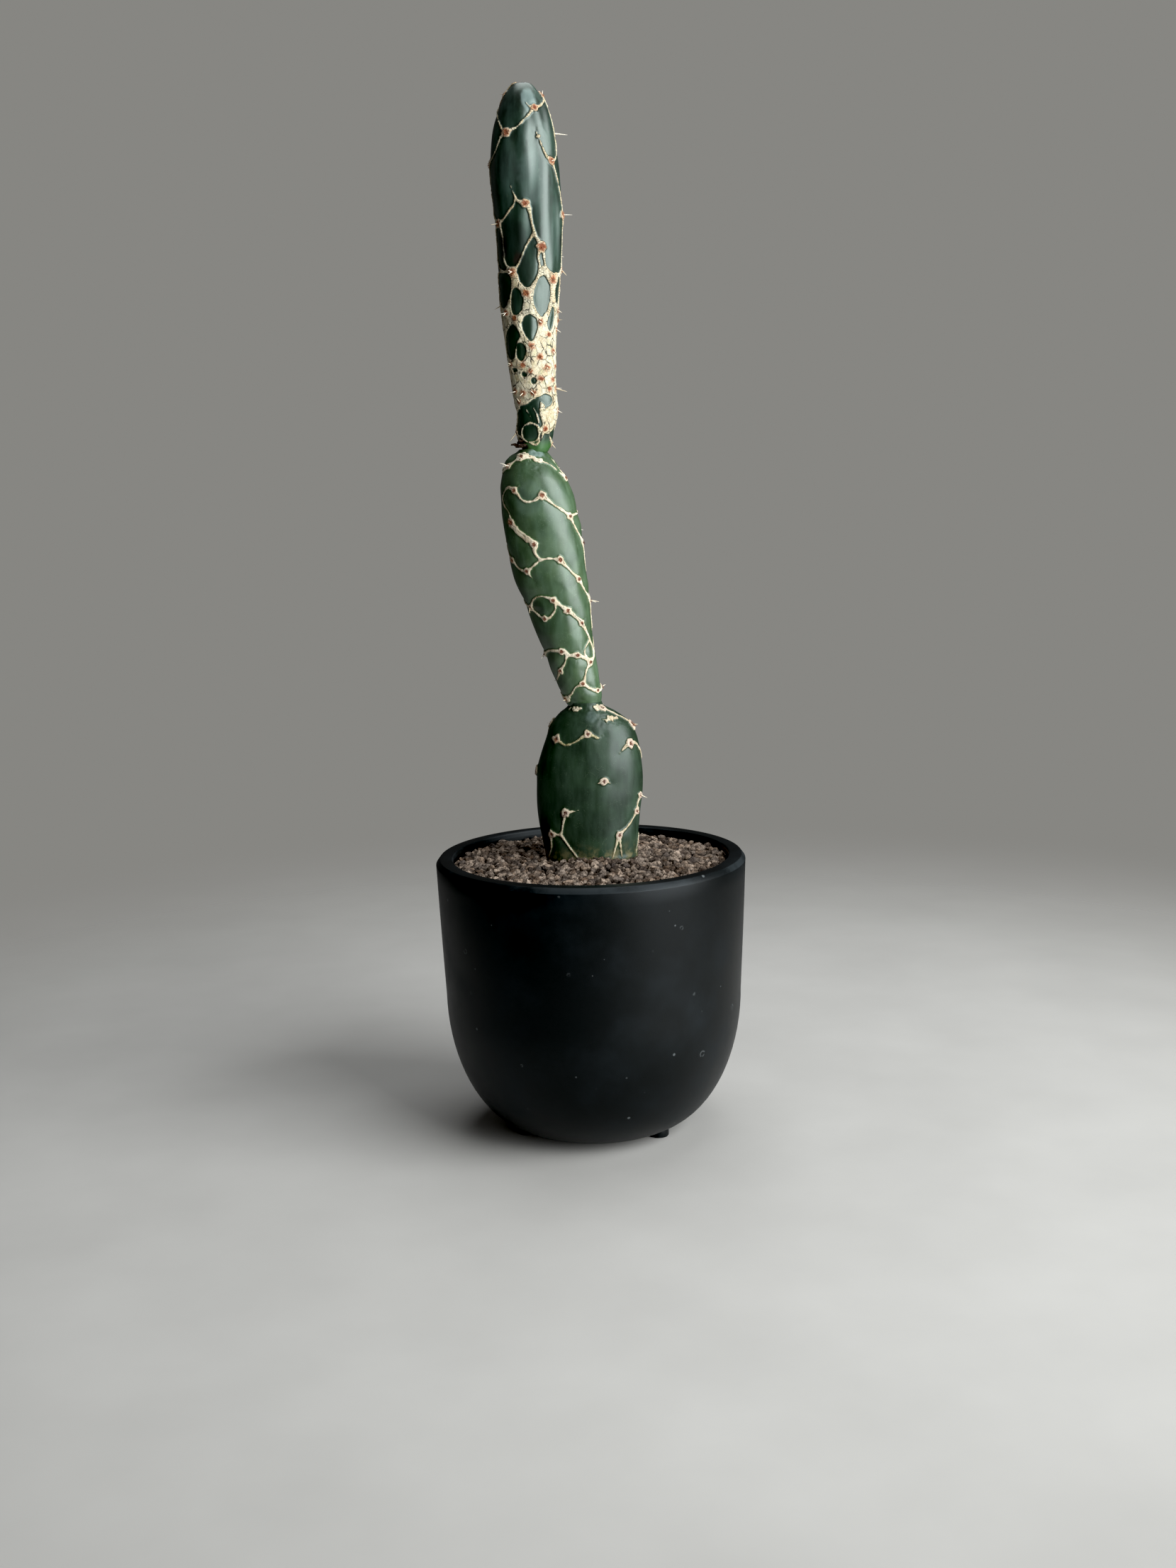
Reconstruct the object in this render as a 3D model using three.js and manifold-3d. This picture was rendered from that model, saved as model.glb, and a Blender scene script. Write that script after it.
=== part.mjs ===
// A three-pad prickly pear cutting with a raised cork net, standing in grit in a black pot.
// Millimetres, +Z up. The origin is on the ground, under the middle of the pot.
import * as THREE from 'three';
import { mergeVertices } from 'three/addons/utils/BufferGeometryUtils.js';
import Module from 'manifold-3d';

// Pot: a round-bottomed thick-walled bowl on three moulded feet
const RIM_RADIUS = 60.1;
const POT_HEIGHT = 109;
const RIM_BEVEL = [1.5, 2.0];
const RIM_INNER = 53.6;
const LIP_BREAK = 0.4;
const BELLY_HEIGHT = 55.6;
const BELLY_RADIUS = 57.9;
const BELLY_CURVE = 32;
const BELLY_INNER = 52.2;
const BELLY_INNER_CURVE = 30;
const UNDERSIDE = 1.5;
const POT_FLOOR = 6.5;
const DRAIN_RADIUS = 7;
const ROUND_STEPS = 54;
const FOOT_RADIUS = 4;
const FOOT_RING = 30;
const FOOT_HEIGHT = 3.4;
const FOOT_ANGLES = [-37, 83, 203];

// Grit: one body of rock grains that fills the pot
const GAP = 0.35;
const GRIT_EDGE = 104.2;
const GRIT_DOME = 1.1;
const GRAIN = 5.2;
const GRAIN_RISE = [0.8, 2.6];
const CRACK_DEPTH = 0.8;
const GRAIN_SHIFT = 1;
const STEM_HOLE_STEPS = 22;

// Plant: three pads on one upright line, seen from the front along +Y
const PLANT_Y = 2;
const CORK_RISE = 1.1;
const CORK_EDGE = 0.6;
const NET_STEP = 3.1;
const SKIN_STEP = 4.4;
const AREOLE_RISE = 0.9;
const SPINE_ROOT = 0.55;
const SPINE_SUNK = 1;
const SPINE_LENGTH = [2.2, 4.6];
const SPINES_EACH = 2;
const UNEVEN = 2e-4;

// Each pad is given by cross-sections from its foot up: height, left edge, right edge, half depth.
// Areoles are the felted spots that bristles grow from: height, degrees round from the front
// towards the right, radius. Lines of cork join them: width, then the areoles' names and the
// points between. Patches and bands are cork too, and windows are bare green skin inside cork.
const LOWER_PAD = {
  base: 24,
  cap: 16,
  netFrom: 108.2,
  stations: [
    [80, -13, 14, 8], [92, -15.7, 17, 9.8], [105, -16.8, 18.3, 10.7], [114, -18.6, 18.8, 11.3],
    [123, -19.9, 19.4, 12], [134, -20.3, 20.7, 12.5], [145, -19.2, 20.7, 12.3],
    [154, -16.4, 19.1, 11.2], [160, -13.8, 16.3, 9.6], [164, -10.8, 11.4, 8],
    [166.4, -7.6, 6.2, 6.2],
  ],
  areoles: {
    a: [164.8, 62, 1.7], b: [159, 84, 1.9], c: [155, -50, 1.6], d: [157, -5, 1.4],
    e: [152.5, 54, 1.5], f: [160, -95, 1.3], g: [142, -88, 1.3], h: [139, 15, 1.4],
    i: [127, -27, 1.5], j: [118, -50, 1.4], k: [132, 72, 1.3], l: [126, 66, 1.4],
    m: [117.5, 36, 1.4], n: [160, 145, 1.4], o: [157, -145, 1.4], p: [149, 178, 1.5],
    q: [145, 122, 1.4], r: [139, -128, 1.4], s: [131, 148, 1.4], t: [127, -165, 1.4],
    u: [118, 118, 1.3], v: [115, -112, 1.3],
  },
  lines: [
    [1.5, 'a', [163.2, 72], 'b'],
    [1.4, [155, -64], 'c', [153, -34], [154.3, -20], 'd', [155.6, 8], [156.6, 16]],
    [1.6, [149, 34], [151.6, 44], 'e', [152.6, 66], [149, 84], [145, 96]],
    [1.4, [138, 7], 'h', [138, 23]],
    [1.2, 'i', [128, -12]],
    [1.4, 'i', [122.5, -31], [118.2, -36], 'j', [112, -57], [107, -74]],
    [1.7, [118.2, -36], [113, -26], [107, -14]],
    [1.4, 'k', [129, 67], 'l', [121, 52], 'm', [113, 31], [107, 25]],
    [1.2, 'm', [107, 41]],
    [1.3, [117, 88], [107, 72]],
    [1.4, 'f', [161, -120], 'o', [155, -162], 'p', [152, 160], 'n', [159, 118], 'b'],
    [1.3, 'p', [141, -165], 't', [131, 168], 's', [139, 132], 'q'],
    [1.3, 'f', [150, -108], 'r', [131, -142], 't'],
    [1.5, 's', [124, 134], 'u', [112, 122], [107, 126]],
    [1.5, 't', [118, -150], 'v', [107, -104]],
  ],
  patches: [[162.4, 42, 1.2, 3.6], [166, -30, 1, 2.8]],
  windows: [],
  bands: [],
};
const MIDDLE_PAD = {
  base: 16,
  cap: 12,
  netFrom: 0,
  stations: [
    [166.8, -7.7, 5.9, 5.8], [172, -10.3, 6.1, 6.8], [179, -13, 4.9, 7.8], [190, -17, 3.5, 9],
    [203, -21.7, 2.5, 10.2], [216, -26.6, 1.3, 11.2], [229, -29.5, 0.1, 11.8],
    [242, -30.7, -1.9, 12], [251, -30.8, -4.7, 11.2], [257.5, -30, -8.2, 9.4],
    [261.5, -27.4, -11.2, 7.4], [264, -23.2, -13.6, 4.8],
  ],
  areoles: {
    a: [249, -36, 1.5], b: [247, 9, 1.6], c: [239, 50, 1.5], d: [229, 80, 1.4],
    e: [237, -50, 1.7], f: [229, -15, 1.6], g: [223, 20, 1.6], h: [215.5, 50, 1.5],
    i: [219, -36, 1.5], j: [223, -65, 1.4], k: [258, -52, 1.3], l: [261.3, -22, 1.4],
    m: [253, 75, 1.5], n: [205, -58, 1.3], o: [208, -5, 1.4], p: [201, -31, 1.3],
    q: [204, 16, 1.5], r: [199, 40, 1.4], s: [184, 48, 1.4], t: [187, -84, 1.4],
    u: [188.5, -16, 1.5], v: [187, 17, 1.5], w: [181, -36, 1.3], x: [176, 12, 1.4],
    y: [173, 52, 1.2], z: [174, 92, 1.3], A: [207, 84, 1.3], B: [169.6, -58, 1.5],
    C: [256, 128, 1.4], D: [254, -130, 1.4], E: [245, 165, 1.5], F: [239, -125, 1.5],
    G: [234, 124, 1.4], H: [227, -168, 1.5], I: [217, 132, 1.4], J: [212, -122, 1.4],
    K: [207, 176, 1.4], L: [196, 128, 1.4], M: [192, -140, 1.3], N: [184, 168, 1.3],
    O: [177, -130, 1.3],
  },
  lines: [
    [1.4, [255, -84], 'k', [260, -36], 'l'],
    [1.7, 'l', [261, 5], [260, 25], [258, 52], 'm'],
    [1.2, [262.6, 40], [259.5, 68], 'm'],
    [1.5, [243.5, -68], [246, -74], [250, -54], 'a', [245.4, -24], [244.8, -8], 'b'],
    [1, 'a', [251, -25]],
    [1.6, 'b', [243.5, 25], 'c', [235, 60], 'd', [224, 90], [217, 98]],
    [1, [243, -66], [240.4, -54], 'e'],
    [2, 'e', [233, -36], 'f', [226, -16], [223, -10]],
    [1.2, [223, -10], [223.6, 5], 'g'],
    [1.6, 'g', [219, 35], 'h', [212, 62], 'A', [201, 94], [195, 86]],
    [1.3, [223, -10], [221, -22], 'i', [220, -54], 'j', [227, -88]],
    [1, 'i', [215.6, -29]],
    [1.2, 'n', [208.2, -42], [209.4, -24], 'o', [204.8, -5], [202, -17], 'p', [202.4, -44], 'n'],
    [1.5, 'n', [206, -75], [208, -98]],
    [1.9, 'o', [206.4, 4], 'q', [201.6, 29], 'r', [193, 60], [187, 72], 's'],
    [1.2, [192, 56], [188, 37], 's'],
    [1.7, 't', [188.6, -48], 'u', [187, 0], 'v', [186, 32], 's'],
    [1.2, [187.2, -6], [184, -18], 'w', [176, -78]],
    [1.2, 's', [181, 32], 'x', [174.6, -10], [172, -28], 'B'],
    [1.4, 'x', [173.6, 34], 'y', [173, 74], 'z'],
    [1.3, 'm', [256, 100], 'C', [250, 148], 'E', [252, -158], 'D', [256, -106], 'k'],
    [1.3, 'C', [243, 112], 'c'],
    [1.3, 'D', [246, -134], 'F', [236, -104], [227, -88]],
    [1.4, 'E', [238, 150], 'G', [231, 102], 'd'],
    [1.4, 'F', [233, -150], 'H', [229, 152], 'G'],
    [1.3, 'G', [225, 124], 'I', [211, 108], 'A'],
    [1.4, 'H', [218, -148], 'J', [208, -98]],
    [1.3, 'H', [217, -174], 'K', [212, 156], 'I'],
    [1.3, 'I', [206, 136], 'L', [193, 104], [187, 72]],
    [1.4, 'J', [201, -138], 'M', [188, -110], 't'],
    [1.3, 'K', [194, 178], 'N', [190, 150], 'L'],
    [1.2, 'M', [185, -160], 'N', [177, 130], 'z'],
    [1.2, 'M', [184, -132], 'O', [172, -90], 'B'],
  ],
  patches: [[169.4, -50, 1.6, 2.6], [262.2, 30, 1, 2.6]],
  windows: [],
  bands: [],
};
const UPPER_PAD = {
  base: 16,
  cap: 0,
  netFrom: 0,
  stations: [
    [264.4, -22.4, -11.8, 5.2], [269, -23.8, -10.4, 6.4], [278, -23.6, -8.6, 7.2],
    [287, -24.9, -9, 7.4], [304, -27.5, -8.5, 8.4], [321, -28.8, -6.6, 9.4],
    [343, -29.6, -5, 10.2], [362, -31, -5.5, 10.6], [375, -30, -6.8, 9.8],
    [384, -27.6, -8.8, 8.2], [390, -24.8, -12, 6.2], [393.4, -21.8, -14.8, 3.4],
    [394.6, -18.3, -18.3, 0],
  ],
  areoles: {
    a: [384, 26, 1.4], b: [375.6, -30, 1.5], c: [366, -88, 1.4], d: [366, 51, 1.4],
    e: [351, -3, 1.4], f: [345, -60, 1.4], g: [327.4, -32, 1.5], h: [336, 23, 1.6],
    i: [324.4, 49, 1.5], j: [319.6, -5, 1.5], k: [313, -54, 1.2], l: [311, -31, 1.2],
    m: [309.4, 25, 1.2], n: [314, 77, 1.2], o: [305, 45, 1.1], p: [301, 3, 1.2],
    q: [297, 21, 1.2], r: [299.4, 60, 1.1], s: [293.4, 39, 1.1], t: [294.4, -22, 1.1],
    u: [295, -59, 1.1], v: [289.4, 20, 1.1], w: [289, 56, 1.1], x: [284.4, -5, 1.1],
    y: [271, 30, 1.2], z: [270, -74, 1.1], A: [388.6, 84, 1.4], B: [390, -84, 1.2],
    C: [348, 82, 1.4], D: [284.4, -38, 1.1], E: [286, 74, 1.1], F: [388.6, 152, 1.3],
    G: [380, -150, 1.3], H: [372, 122, 1.3], I: [362, -178, 1.4], J: [354, 146, 1.3],
    K: [352, -134, 1.4], L: [340, 178, 1.4], M: [335, 128, 1.4], N: [333, -108, 1.3],
    O: [326, -158, 1.4], P: [321, 150, 1.3], Q: [317, -112, 1.2], R: [311, 106, 1.2],
    S: [308, -170, 1.2], T: [303, 146, 1.2], U: [301, -122, 1.1], V: [294, 168, 1.1],
    W: [292, 118, 1.1], X: [289, -146, 1.1], Y: [273, 138, 1.2], Z: [271, -138, 1.2],
  },
  lines: [
    [1.3, [386.4, 4], 'a', [387, 50], 'A'],
    [1.3, 'B', [393, -120], [393.2, 170], 'F'],
    [1.2, 'a', [380.6, 9], [377.4, -10], 'b', [379, -50], [384, -66]],
    [1.2, 'b', [371.6, -48], 'c'],
    [1.2, 'A', [380, 94], [372, 86], 'd'],
    [1.2, 'd', [371, 36], [374.6, 29]],
    [1.3, 'd', [358, 58], [352, 66], 'C', [337, 92], [329, 80], 'i'],
    [1.3, [358, -28], [354, -20], 'e', [349, -24], 'f'],
    [1.2, 'f', [352, -76], 'c'],
    [1.2, 'f', [336, -58], 'g'],
    [1.2, 'f', [335, -84], [321, -84], 'k'],
    [2, 'e', [345, 4], [340.4, 8], 'h'],
    [1.3, [340.6, 6], [334, -8], 'g'],
    [1.2, 'h', [331, 17], [326.6, 24]],
    [1.3, 'h', [331, 33], [326.6, 24]],
    [1.9, [326.6, 24], [325, 39], 'i'],
    [1.9, [326.6, 24], [323, 11], 'j'],
    [2.2, 'g', [323.4, -25], [321, -15], 'j'],
    [1.4, [323, -25], [320, -38], 'k'],
    [1.5, 'j', [315, -15], 'l', 'k'],
    [2.2, 'i', [317, 58], [313, 44], 'm'],
    [1.6, 'i', [319, 68], 'n'],
    [2, 'j', [314.6, 0], [311.6, 14], 'm'],
    [1.3, 'B', [386, -122], 'G', [372, -118], 'c'],
    [1.3, 'F', [380, 146], 'H', [372, 96], [372, 86]],
    [1.2, 'G', [370, -166], 'I', [368, 150], 'H'],
    [1.3, 'I', [359, 168], 'J', [352, 118], 'C'],
    [1.3, 'I', [357, -156], 'K', [358, -108], 'c'],
    [1.3, 'K', [345, -152], 'L', [346, 166], 'J'],
    [1.3, 'K', [342, -116], 'N', [338, -86], [335, -84]],
    [1.3, 'J', [344, 138], 'M', [331, 104], [329, 80]],
    [1.4, 'L', [332, -176], 'O', [330, -130], 'N'],
    [1.4, 'L', [330, 172], 'P', [327, 138], 'M'],
    [1.5, 'P', [315, 130], 'R', [316, 90], 'n'],
    [1.5, 'O', [320, -140], 'Q', [316, -92], [321, -84]],
    [1.5, 'O', [316, -170], [313, 178], [316, 164], 'P'],
  ],
  patches: [[277, 46, 6, 6.4], [272, 74, 4, 4.4], [274, -8, 1, 4], [276, 128, 5, 4], [274, -120, 5, 3]],
  windows: [
    [303, -48, 6, 3.6], [307.6, 1, 5.4, 3.4], [319, 23, 6.6, 3.6], [311, 50, 5.2, 2.6],
    [299, -26, 3, 2.2], [316.6, -29, 4.8, 2.8], [320.6, -56, 6.8, 3.4], [320, 72, 4.8, 2.6],
    [291, -26, 1.2, 1.2], [289, 0, 1.1, 1.3], [306, 124, 5.4, 3.2], [301, -96, 5, 3],
    [308, 164, 5.6, 3], [305, -146, 5.2, 3], [297, 144, 3.4, 2.6], [296, -166, 3.6, 2.8],
    [281.4, 26, 2.6, 2.4], [270, -15, 3, 2.6],
  ],
  bands: [[284.4, 312]],
};

const wasm = await Module();
wasm.setup();
const radians = THREE.MathUtils.degToRad;
const { clamp, lerp } = THREE.MathUtils;

// Seeded random numbers, the same on each run
function seeded(seed) {
  let state = seed;
  return () => {
    state = (state + 0x6d2b79f5) | 0;
    let t = Math.imul(state ^ (state >>> 15), 1 | state);
    t = (t + Math.imul(t ^ (t >>> 7), 61 | t)) ^ t;
    return ((t ^ (t >>> 14)) >>> 0) / 4294967296;
  };
}

function geometryOf(points, triangles) {
  const geometry = new THREE.BufferGeometry();
  geometry.setAttribute('position', new THREE.Float32BufferAttribute(points.flatMap((p) => [p.x, p.y, p.z]), 3));
  geometry.setIndex(triangles.flat());
  geometry.computeVertexNormals();
  return geometry;
}

// A closed mesh as a solid for joining, turned the right way out
function solidOf(geometry) {
  const bare = geometry.clone();
  bare.deleteAttribute('normal');
  bare.deleteAttribute('uv');
  const merged = mergeVertices(bare, 1e-4);
  const triVerts = Uint32Array.from(merged.index.array);
  const vertProperties = Float32Array.from(merged.attributes.position.array);
  const corner = (i) => new THREE.Vector3().fromArray(vertProperties, 3 * i);
  let volume = 0;
  for (let i = 0; i < triVerts.length; i += 3) {
    volume += corner(triVerts[i]).dot(corner(triVerts[i + 1]).cross(corner(triVerts[i + 2])));
  }
  if (volume < 0) {
    for (let i = 0; i < triVerts.length; i += 3) {
      [triVerts[i], triVerts[i + 1]] = [triVerts[i + 1], triVerts[i]];
    }
  }
  return new wasm.Manifold(new wasm.Mesh({ numProp: 3, vertProperties, triVerts }));
}

function geometryFrom(solid) {
  const mesh = solid.getMesh();
  const geometry = new THREE.BufferGeometry();
  geometry.setAttribute('position', new THREE.BufferAttribute(mesh.vertProperties, 3));
  geometry.setIndex(new THREE.BufferAttribute(mesh.triVerts, 1));
  geometry.computeVertexNormals();
  return geometry;
}

// Even triangles through points in a plane: each new point opens the triangles whose circle holds it.
// A slight unevenness keeps four points off one circle.
function triangulate(points) {
  const random = seeded(7);
  const count = points.length;
  const all = points.map(([x, y]) => {
    const grow = 1 + UNEVEN * random();
    return [grow * x, grow * y];
  });
  const far = 40 * Math.max(...points.map((p) => Math.hypot(p[0], p[1])));
  all.push([-far, -far], [far, -far], [0, far]);
  const holds = ([i, j, k], [x, y]) => {
    const ax = all[i][0] - x;
    const ay = all[i][1] - y;
    const bx = all[j][0] - x;
    const by = all[j][1] - y;
    const cx = all[k][0] - x;
    const cy = all[k][1] - y;
    const a = ax * ax + ay * ay;
    const b = bx * bx + by * by;
    const c = cx * cx + cy * cy;
    return ax * (by * c - b * cy) - ay * (bx * c - b * cx) + a * (bx * cy - by * cx) > 0;
  };
  let triangles = [[count, count + 1, count + 2]];
  for (let n = 0; n < count; n += 1) {
    const rim = new Map();
    const kept = [];
    for (const triangle of triangles) {
      if (!holds(triangle, all[n])) {
        kept.push(triangle);
        continue;
      }
      triangle.forEach((from, side) => {
        const to = triangle[(side + 1) % 3];
        if (!rim.delete(`${to} ${from}`)) rim.set(`${from} ${to}`, [from, to]);
      });
    }
    for (const [from, to] of rim.values()) kept.push([from, to, n]);
    triangles = kept;
  }
  return triangles.filter((triangle) => triangle.every((n) => n < count));
}

// The edges of an open sheet, each running the way its triangle does
function openEdges(triangles) {
  const edges = new Map();
  for (const triangle of triangles) {
    triangle.forEach((from, side) => {
      const to = triangle[(side + 1) % 3];
      if (!edges.delete(`${to} ${from}`)) edges.set(`${from} ${to}`, [from, to]);
    });
  }
  return [...edges.values()];
}

// A smooth row of numbers through a list of rows, at a place between them
function smooth(rows, place) {
  const i = clamp(Math.floor(place), 0, rows.length - 2);
  const t = place - i;
  const [b, c] = [rows[i], rows[i + 1]];
  const before = rows[i - 1] ?? b.map((value, n) => 2 * value - c[n]);
  const after = rows[i + 2] ?? c.map((value, n) => 2 * value - b[n]);
  return b.map((value, n) => {
    const a = before[n];
    const d = after[n];
    const turn = t * (2 * a - 5 * value + 4 * c[n] - d + t * (3 * value - a - 3 * c[n] + d));
    return 0.5 * (2 * value + t * (c[n] - a + turn));
  });
}

// The bare skin of a pad: points, directions and places on it
function skinOf({ stations }) {
  const last = stations.length - 1;
  const at = (u, a) => {
    const [z, left, right, depth] = smooth(stations, clamp(u, 0, last));
    const reach = Math.max(right - left, 0) / 2;
    return new THREE.Vector3(
      (left + right) / 2 + reach * Math.sin(a), PLANT_Y - Math.max(depth, 0) * Math.cos(a), z);
  };
  const axes = (u, a) => {
    const step = 1e-3;
    const [low, high] = [Math.max(u - step, 0), Math.min(u + step, last)];
    const up = at(high, a).sub(at(low, a)).divideScalar(high - low);
    const round = at(u, a + step).sub(at(u, a - step)).divideScalar(2 * step);
    return { up, round, out: round.clone().cross(up).normalize() };
  };
  const placeOf = ([z, degrees]) => {
    let [low, high] = [0, last];
    for (let n = 0; n < 40; n += 1) {
      const middle = (low + high) / 2;
      if (smooth(stations, middle)[0] < z) low = middle;
      else high = middle;
    }
    return [(low + high) / 2, radians(degrees)];
  };
  const shift = ([u, a], along, across) => {
    const { up, round } = axes(u, a);
    return [u + along / up.length(), a + across / Math.max(round.length(), 1)];
  };
  return { at, axes, placeOf, shift, last };
}

// The cork net of a pad: how far inside the cork's edge a point lies, and the net's own points
function netOf(pad, skin) {
  const spots = Object.fromEntries(
    Object.entries(pad.areoles).map(([name, [z, a, r]]) => [name, { place: skin.placeOf([z, a]), r }]));
  const lines = pad.lines.map(([width, ...stops]) => {
    const places = stops.map((stop) => [...(spots[stop]?.place ?? skin.placeOf(stop))]);
    for (let n = 1; n < places.length; n += 1) {
      const turns = Math.round((places[n][1] - places[n - 1][1]) / (2 * Math.PI));
      places[n][1] -= 2 * Math.PI * turns;
    }
    const path = [];
    const steps = 12;
    for (let n = 0; n <= steps * (places.length - 1); n += 1) path.push(smooth(places, n / steps));
    return { width, path, points: path.map(([u, a]) => skin.at(u, a)) };
  });
  const oval = ([z, a, high, wide]) => {
    const place = skin.placeOf([z, a]);
    return { place, centre: skin.at(...place), high, wide, small: Math.min(high, wide) };
  };
  const patches = pad.patches.map(oval);
  const windows = pad.windows.map(oval);
  const inOval = (p, { centre, high, wide, small }) => {
    const rise = p.z - centre.z;
    const side = Math.sqrt(Math.max(p.distanceToSquared(centre) - rise * rise, 0));
    return small * (1 - Math.hypot(rise / high, side / wide));
  };
  const segment = new THREE.Line3();
  const nearest = new THREE.Vector3();
  const depth = (p) => {
    let inside = -9;
    for (const { width, points } of lines) {
      for (let n = 1; n < points.length; n += 1) {
        segment.set(points[n - 1], points[n]).closestPointToPoint(p, true, nearest);
        inside = Math.max(inside, width / 2 - nearest.distanceTo(p));
      }
    }
    for (const patch of patches) inside = Math.max(inside, inOval(p, patch));
    for (const [from, to] of pad.bands) inside = Math.max(inside, Math.min(p.z - from, to - p.z));
    for (const window of windows) inside = Math.min(inside, -inOval(p, window));
    return inside;
  };
  return { spots, lines, patches, windows, depth };
}

// One pad as a closed mesh whose edges follow its net, joined with its spines
function padGeometry(pad, seed) {
  const random = seeded(seed);
  const skin = skinOf(pad);
  const net = netOf(pad, skin);
  const places = [];
  const points = [];
  const bare = [];
  const add = (place, room, extra = 0) => {
    const [u, a] = place;
    if (u < 0 || u > skin.last) return false;
    const p = skin.at(u, a);
    if (bare.some((other) => other.distanceTo(p) < room)) return false;
    const cork = clamp(net.depth(p) / CORK_EDGE + 0.5, 0, 1) * CORK_RISE;
    const inAir = clamp((p.z - pad.netFrom) / 1.5, 0, 1);
    const end = u < 0.02 || u > skin.last - 0.02;
    places.push(place);
    bare.push(p);
    points.push(end ? p : p.clone().addScaledVector(skin.axes(u, a).out, (cork + extra) * inAir));
    return true;
  };
  const ring = (u, count, turn = 0) => {
    for (let n = 0; n < count; n += 1) add([u, ((n + turn) * 2 * Math.PI) / count], 0.1);
  };

  ring(0, pad.base);
  if (pad.cap) ring(skin.last, pad.cap);
  for (const { place, r } of Object.values(net.spots)) {
    add(place, 0.6, AREOLE_RISE);
    for (let n = 0; n < 6; n += 1) {
      const turn = (n * Math.PI) / 3;
      add(skin.shift(place, r * Math.cos(turn), r * Math.sin(turn)), 0.9, 0.1);
    }
  }
  const sides = [];
  for (const { width, path, points: along } of net.lines) {
    const high = width < 1.8 ? [0] : [0.35 * width, -0.35 * width];
    const low = [width / 2 + CORK_EDGE, -width / 2 - CORK_EDGE];
    let walked = NET_STEP / 2;
    for (let n = 1; n < path.length; n += 1) {
      walked += along[n].distanceTo(along[n - 1]);
      if (walked < NET_STEP) continue;
      walked = 0;
      const [u, a] = path[n];
      const { up, round, out } = skin.axes(u, a);
      const side = along[n].clone().sub(along[n - 1]).cross(out).normalize();
      const beside = (far) => [
        u + (far * side.dot(up)) / up.lengthSq(), a + (far * side.dot(round)) / round.lengthSq()];
      for (const far of high) add(beside(far), 0.35 * NET_STEP);
      for (const far of low) sides.push(beside(far));
    }
  }
  for (const place of sides) add(place, 0.95);
  const outline = ({ place, high, wide, small }, inset) => {
    const grow = 1 + inset / small;
    const count = Math.max(7, Math.round((Math.PI * (high + wide)) / NET_STEP));
    for (let n = 0; n < count; n += 1) {
      const turn = (n * 2 * Math.PI) / count;
      add(skin.shift(place, grow * high * Math.cos(turn), grow * wide * Math.sin(turn)), 0.95);
    }
  };
  for (const oval of [...net.windows, ...net.patches]) {
    outline(oval, 0.35);
    outline(oval, -0.35);
  }
  for (const edge of pad.bands.flat()) {
    for (const inset of [-0.35, 0.35]) {
      const [u] = skin.placeOf([edge + inset, 0]);
      for (let n = 0; n < 20; n += 1) add([u, (n * Math.PI) / 10], 1);
    }
  }
  let u = 0;
  while (u < skin.last) {
    const { up, round } = skin.axes(u, 0);
    u += SKIN_STEP / Math.max(up.length(), 1);
    const count = Math.max(5, Math.round((2 * Math.PI * round.length()) / SKIN_STEP));
    for (let n = 0; n < count; n += 1) {
      const wander = 0.4 * (random() - 0.5);
      add([u + 0.05 * wander, ((n + wander) * 2 * Math.PI) / count], 0.62 * SKIN_STEP);
    }
  }

  // The skin is laid flat from above, the tip in the middle, so that small triangles keep their form
  const spread = [1];
  const steps = 400;
  for (let n = 1; n <= steps; n += 1) {
    const middle = ((n - 0.5) * skin.last) / steps;
    const { up, round } = skin.axes(middle, 0.8);
    const shrink = (up.length() * (skin.last / steps)) / Math.max(round.length(), 0.3);
    spread.push(spread[n - 1] * Math.exp(-shrink));
  }
  const flat = places.map(([v, a]) => {
    const place = (clamp(v, 0, skin.last) / skin.last) * steps;
    const n = Math.min(Math.floor(place), steps - 1);
    const reach = lerp(spread[n], spread[n + 1], place - n);
    return [reach * Math.cos(a), reach * Math.sin(a)];
  });
  points.push(skin.at(skin.last, 0).setX(pad.cap ? (pad.stations.at(-1)[1] + pad.stations.at(-1)[2]) / 2
    : pad.stations.at(-1)[1]).setY(PLANT_Y));
  flat.push([0, 0]);
  const order = flat.map((_, n) => n).sort((m, n) => Math.hypot(...flat[n]) - Math.hypot(...flat[m]));
  const triangles = triangulate(order.map((n) => flat[n])).map((t) => t.map((n) => order[n]));
  const foot = points.length;
  const [low, left, right] = pad.stations[0];
  points.push(new THREE.Vector3((left + right) / 2, PLANT_Y, low));
  for (const [from, to] of openEdges(triangles)) triangles.push([to, from, foot]);

  // Spines: slim three-sided points, rooted in their areole
  let solid = solidOf(geometryOf(points, triangles));
  for (const { place } of Object.values(net.spots)) {
    const root = skin.at(...place);
    const { up, round, out } = skin.axes(...place);
    for (let n = 0; n < SPINES_EACH; n += 1) {
      const lean = lerp(-0.9, 0.9, random());
      const tilt = lerp(-0.7, 0.5, random());
      const way = out.clone().addScaledVector(round.clone().normalize(), lean)
        .addScaledVector(up.clone().normalize(), tilt).normalize();
      const length = lerp(...SPINE_LENGTH, random());
      const across = new THREE.Vector3().crossVectors(way, up).normalize();
      const beside = new THREE.Vector3().crossVectors(way, across);
      const start = root.clone().addScaledVector(out, -SPINE_SUNK);
      const tip = root.clone().addScaledVector(out, CORK_RISE + AREOLE_RISE - 0.3).addScaledVector(way, length);
      const corners = [0, 1, 2].map((side) => {
        const turn = (side * 2 * Math.PI) / 3;
        return start.clone().addScaledVector(across, SPINE_ROOT * Math.cos(turn))
          .addScaledVector(beside, SPINE_ROOT * Math.sin(turn));
      });
      const spine = geometryOf([...corners, tip], [[0, 1, 3], [1, 2, 3], [2, 0, 3], [0, 2, 1]]);
      solid = solid.add(solidOf(spine));
    }
  }
  return geometryFrom(solid);
}

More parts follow.
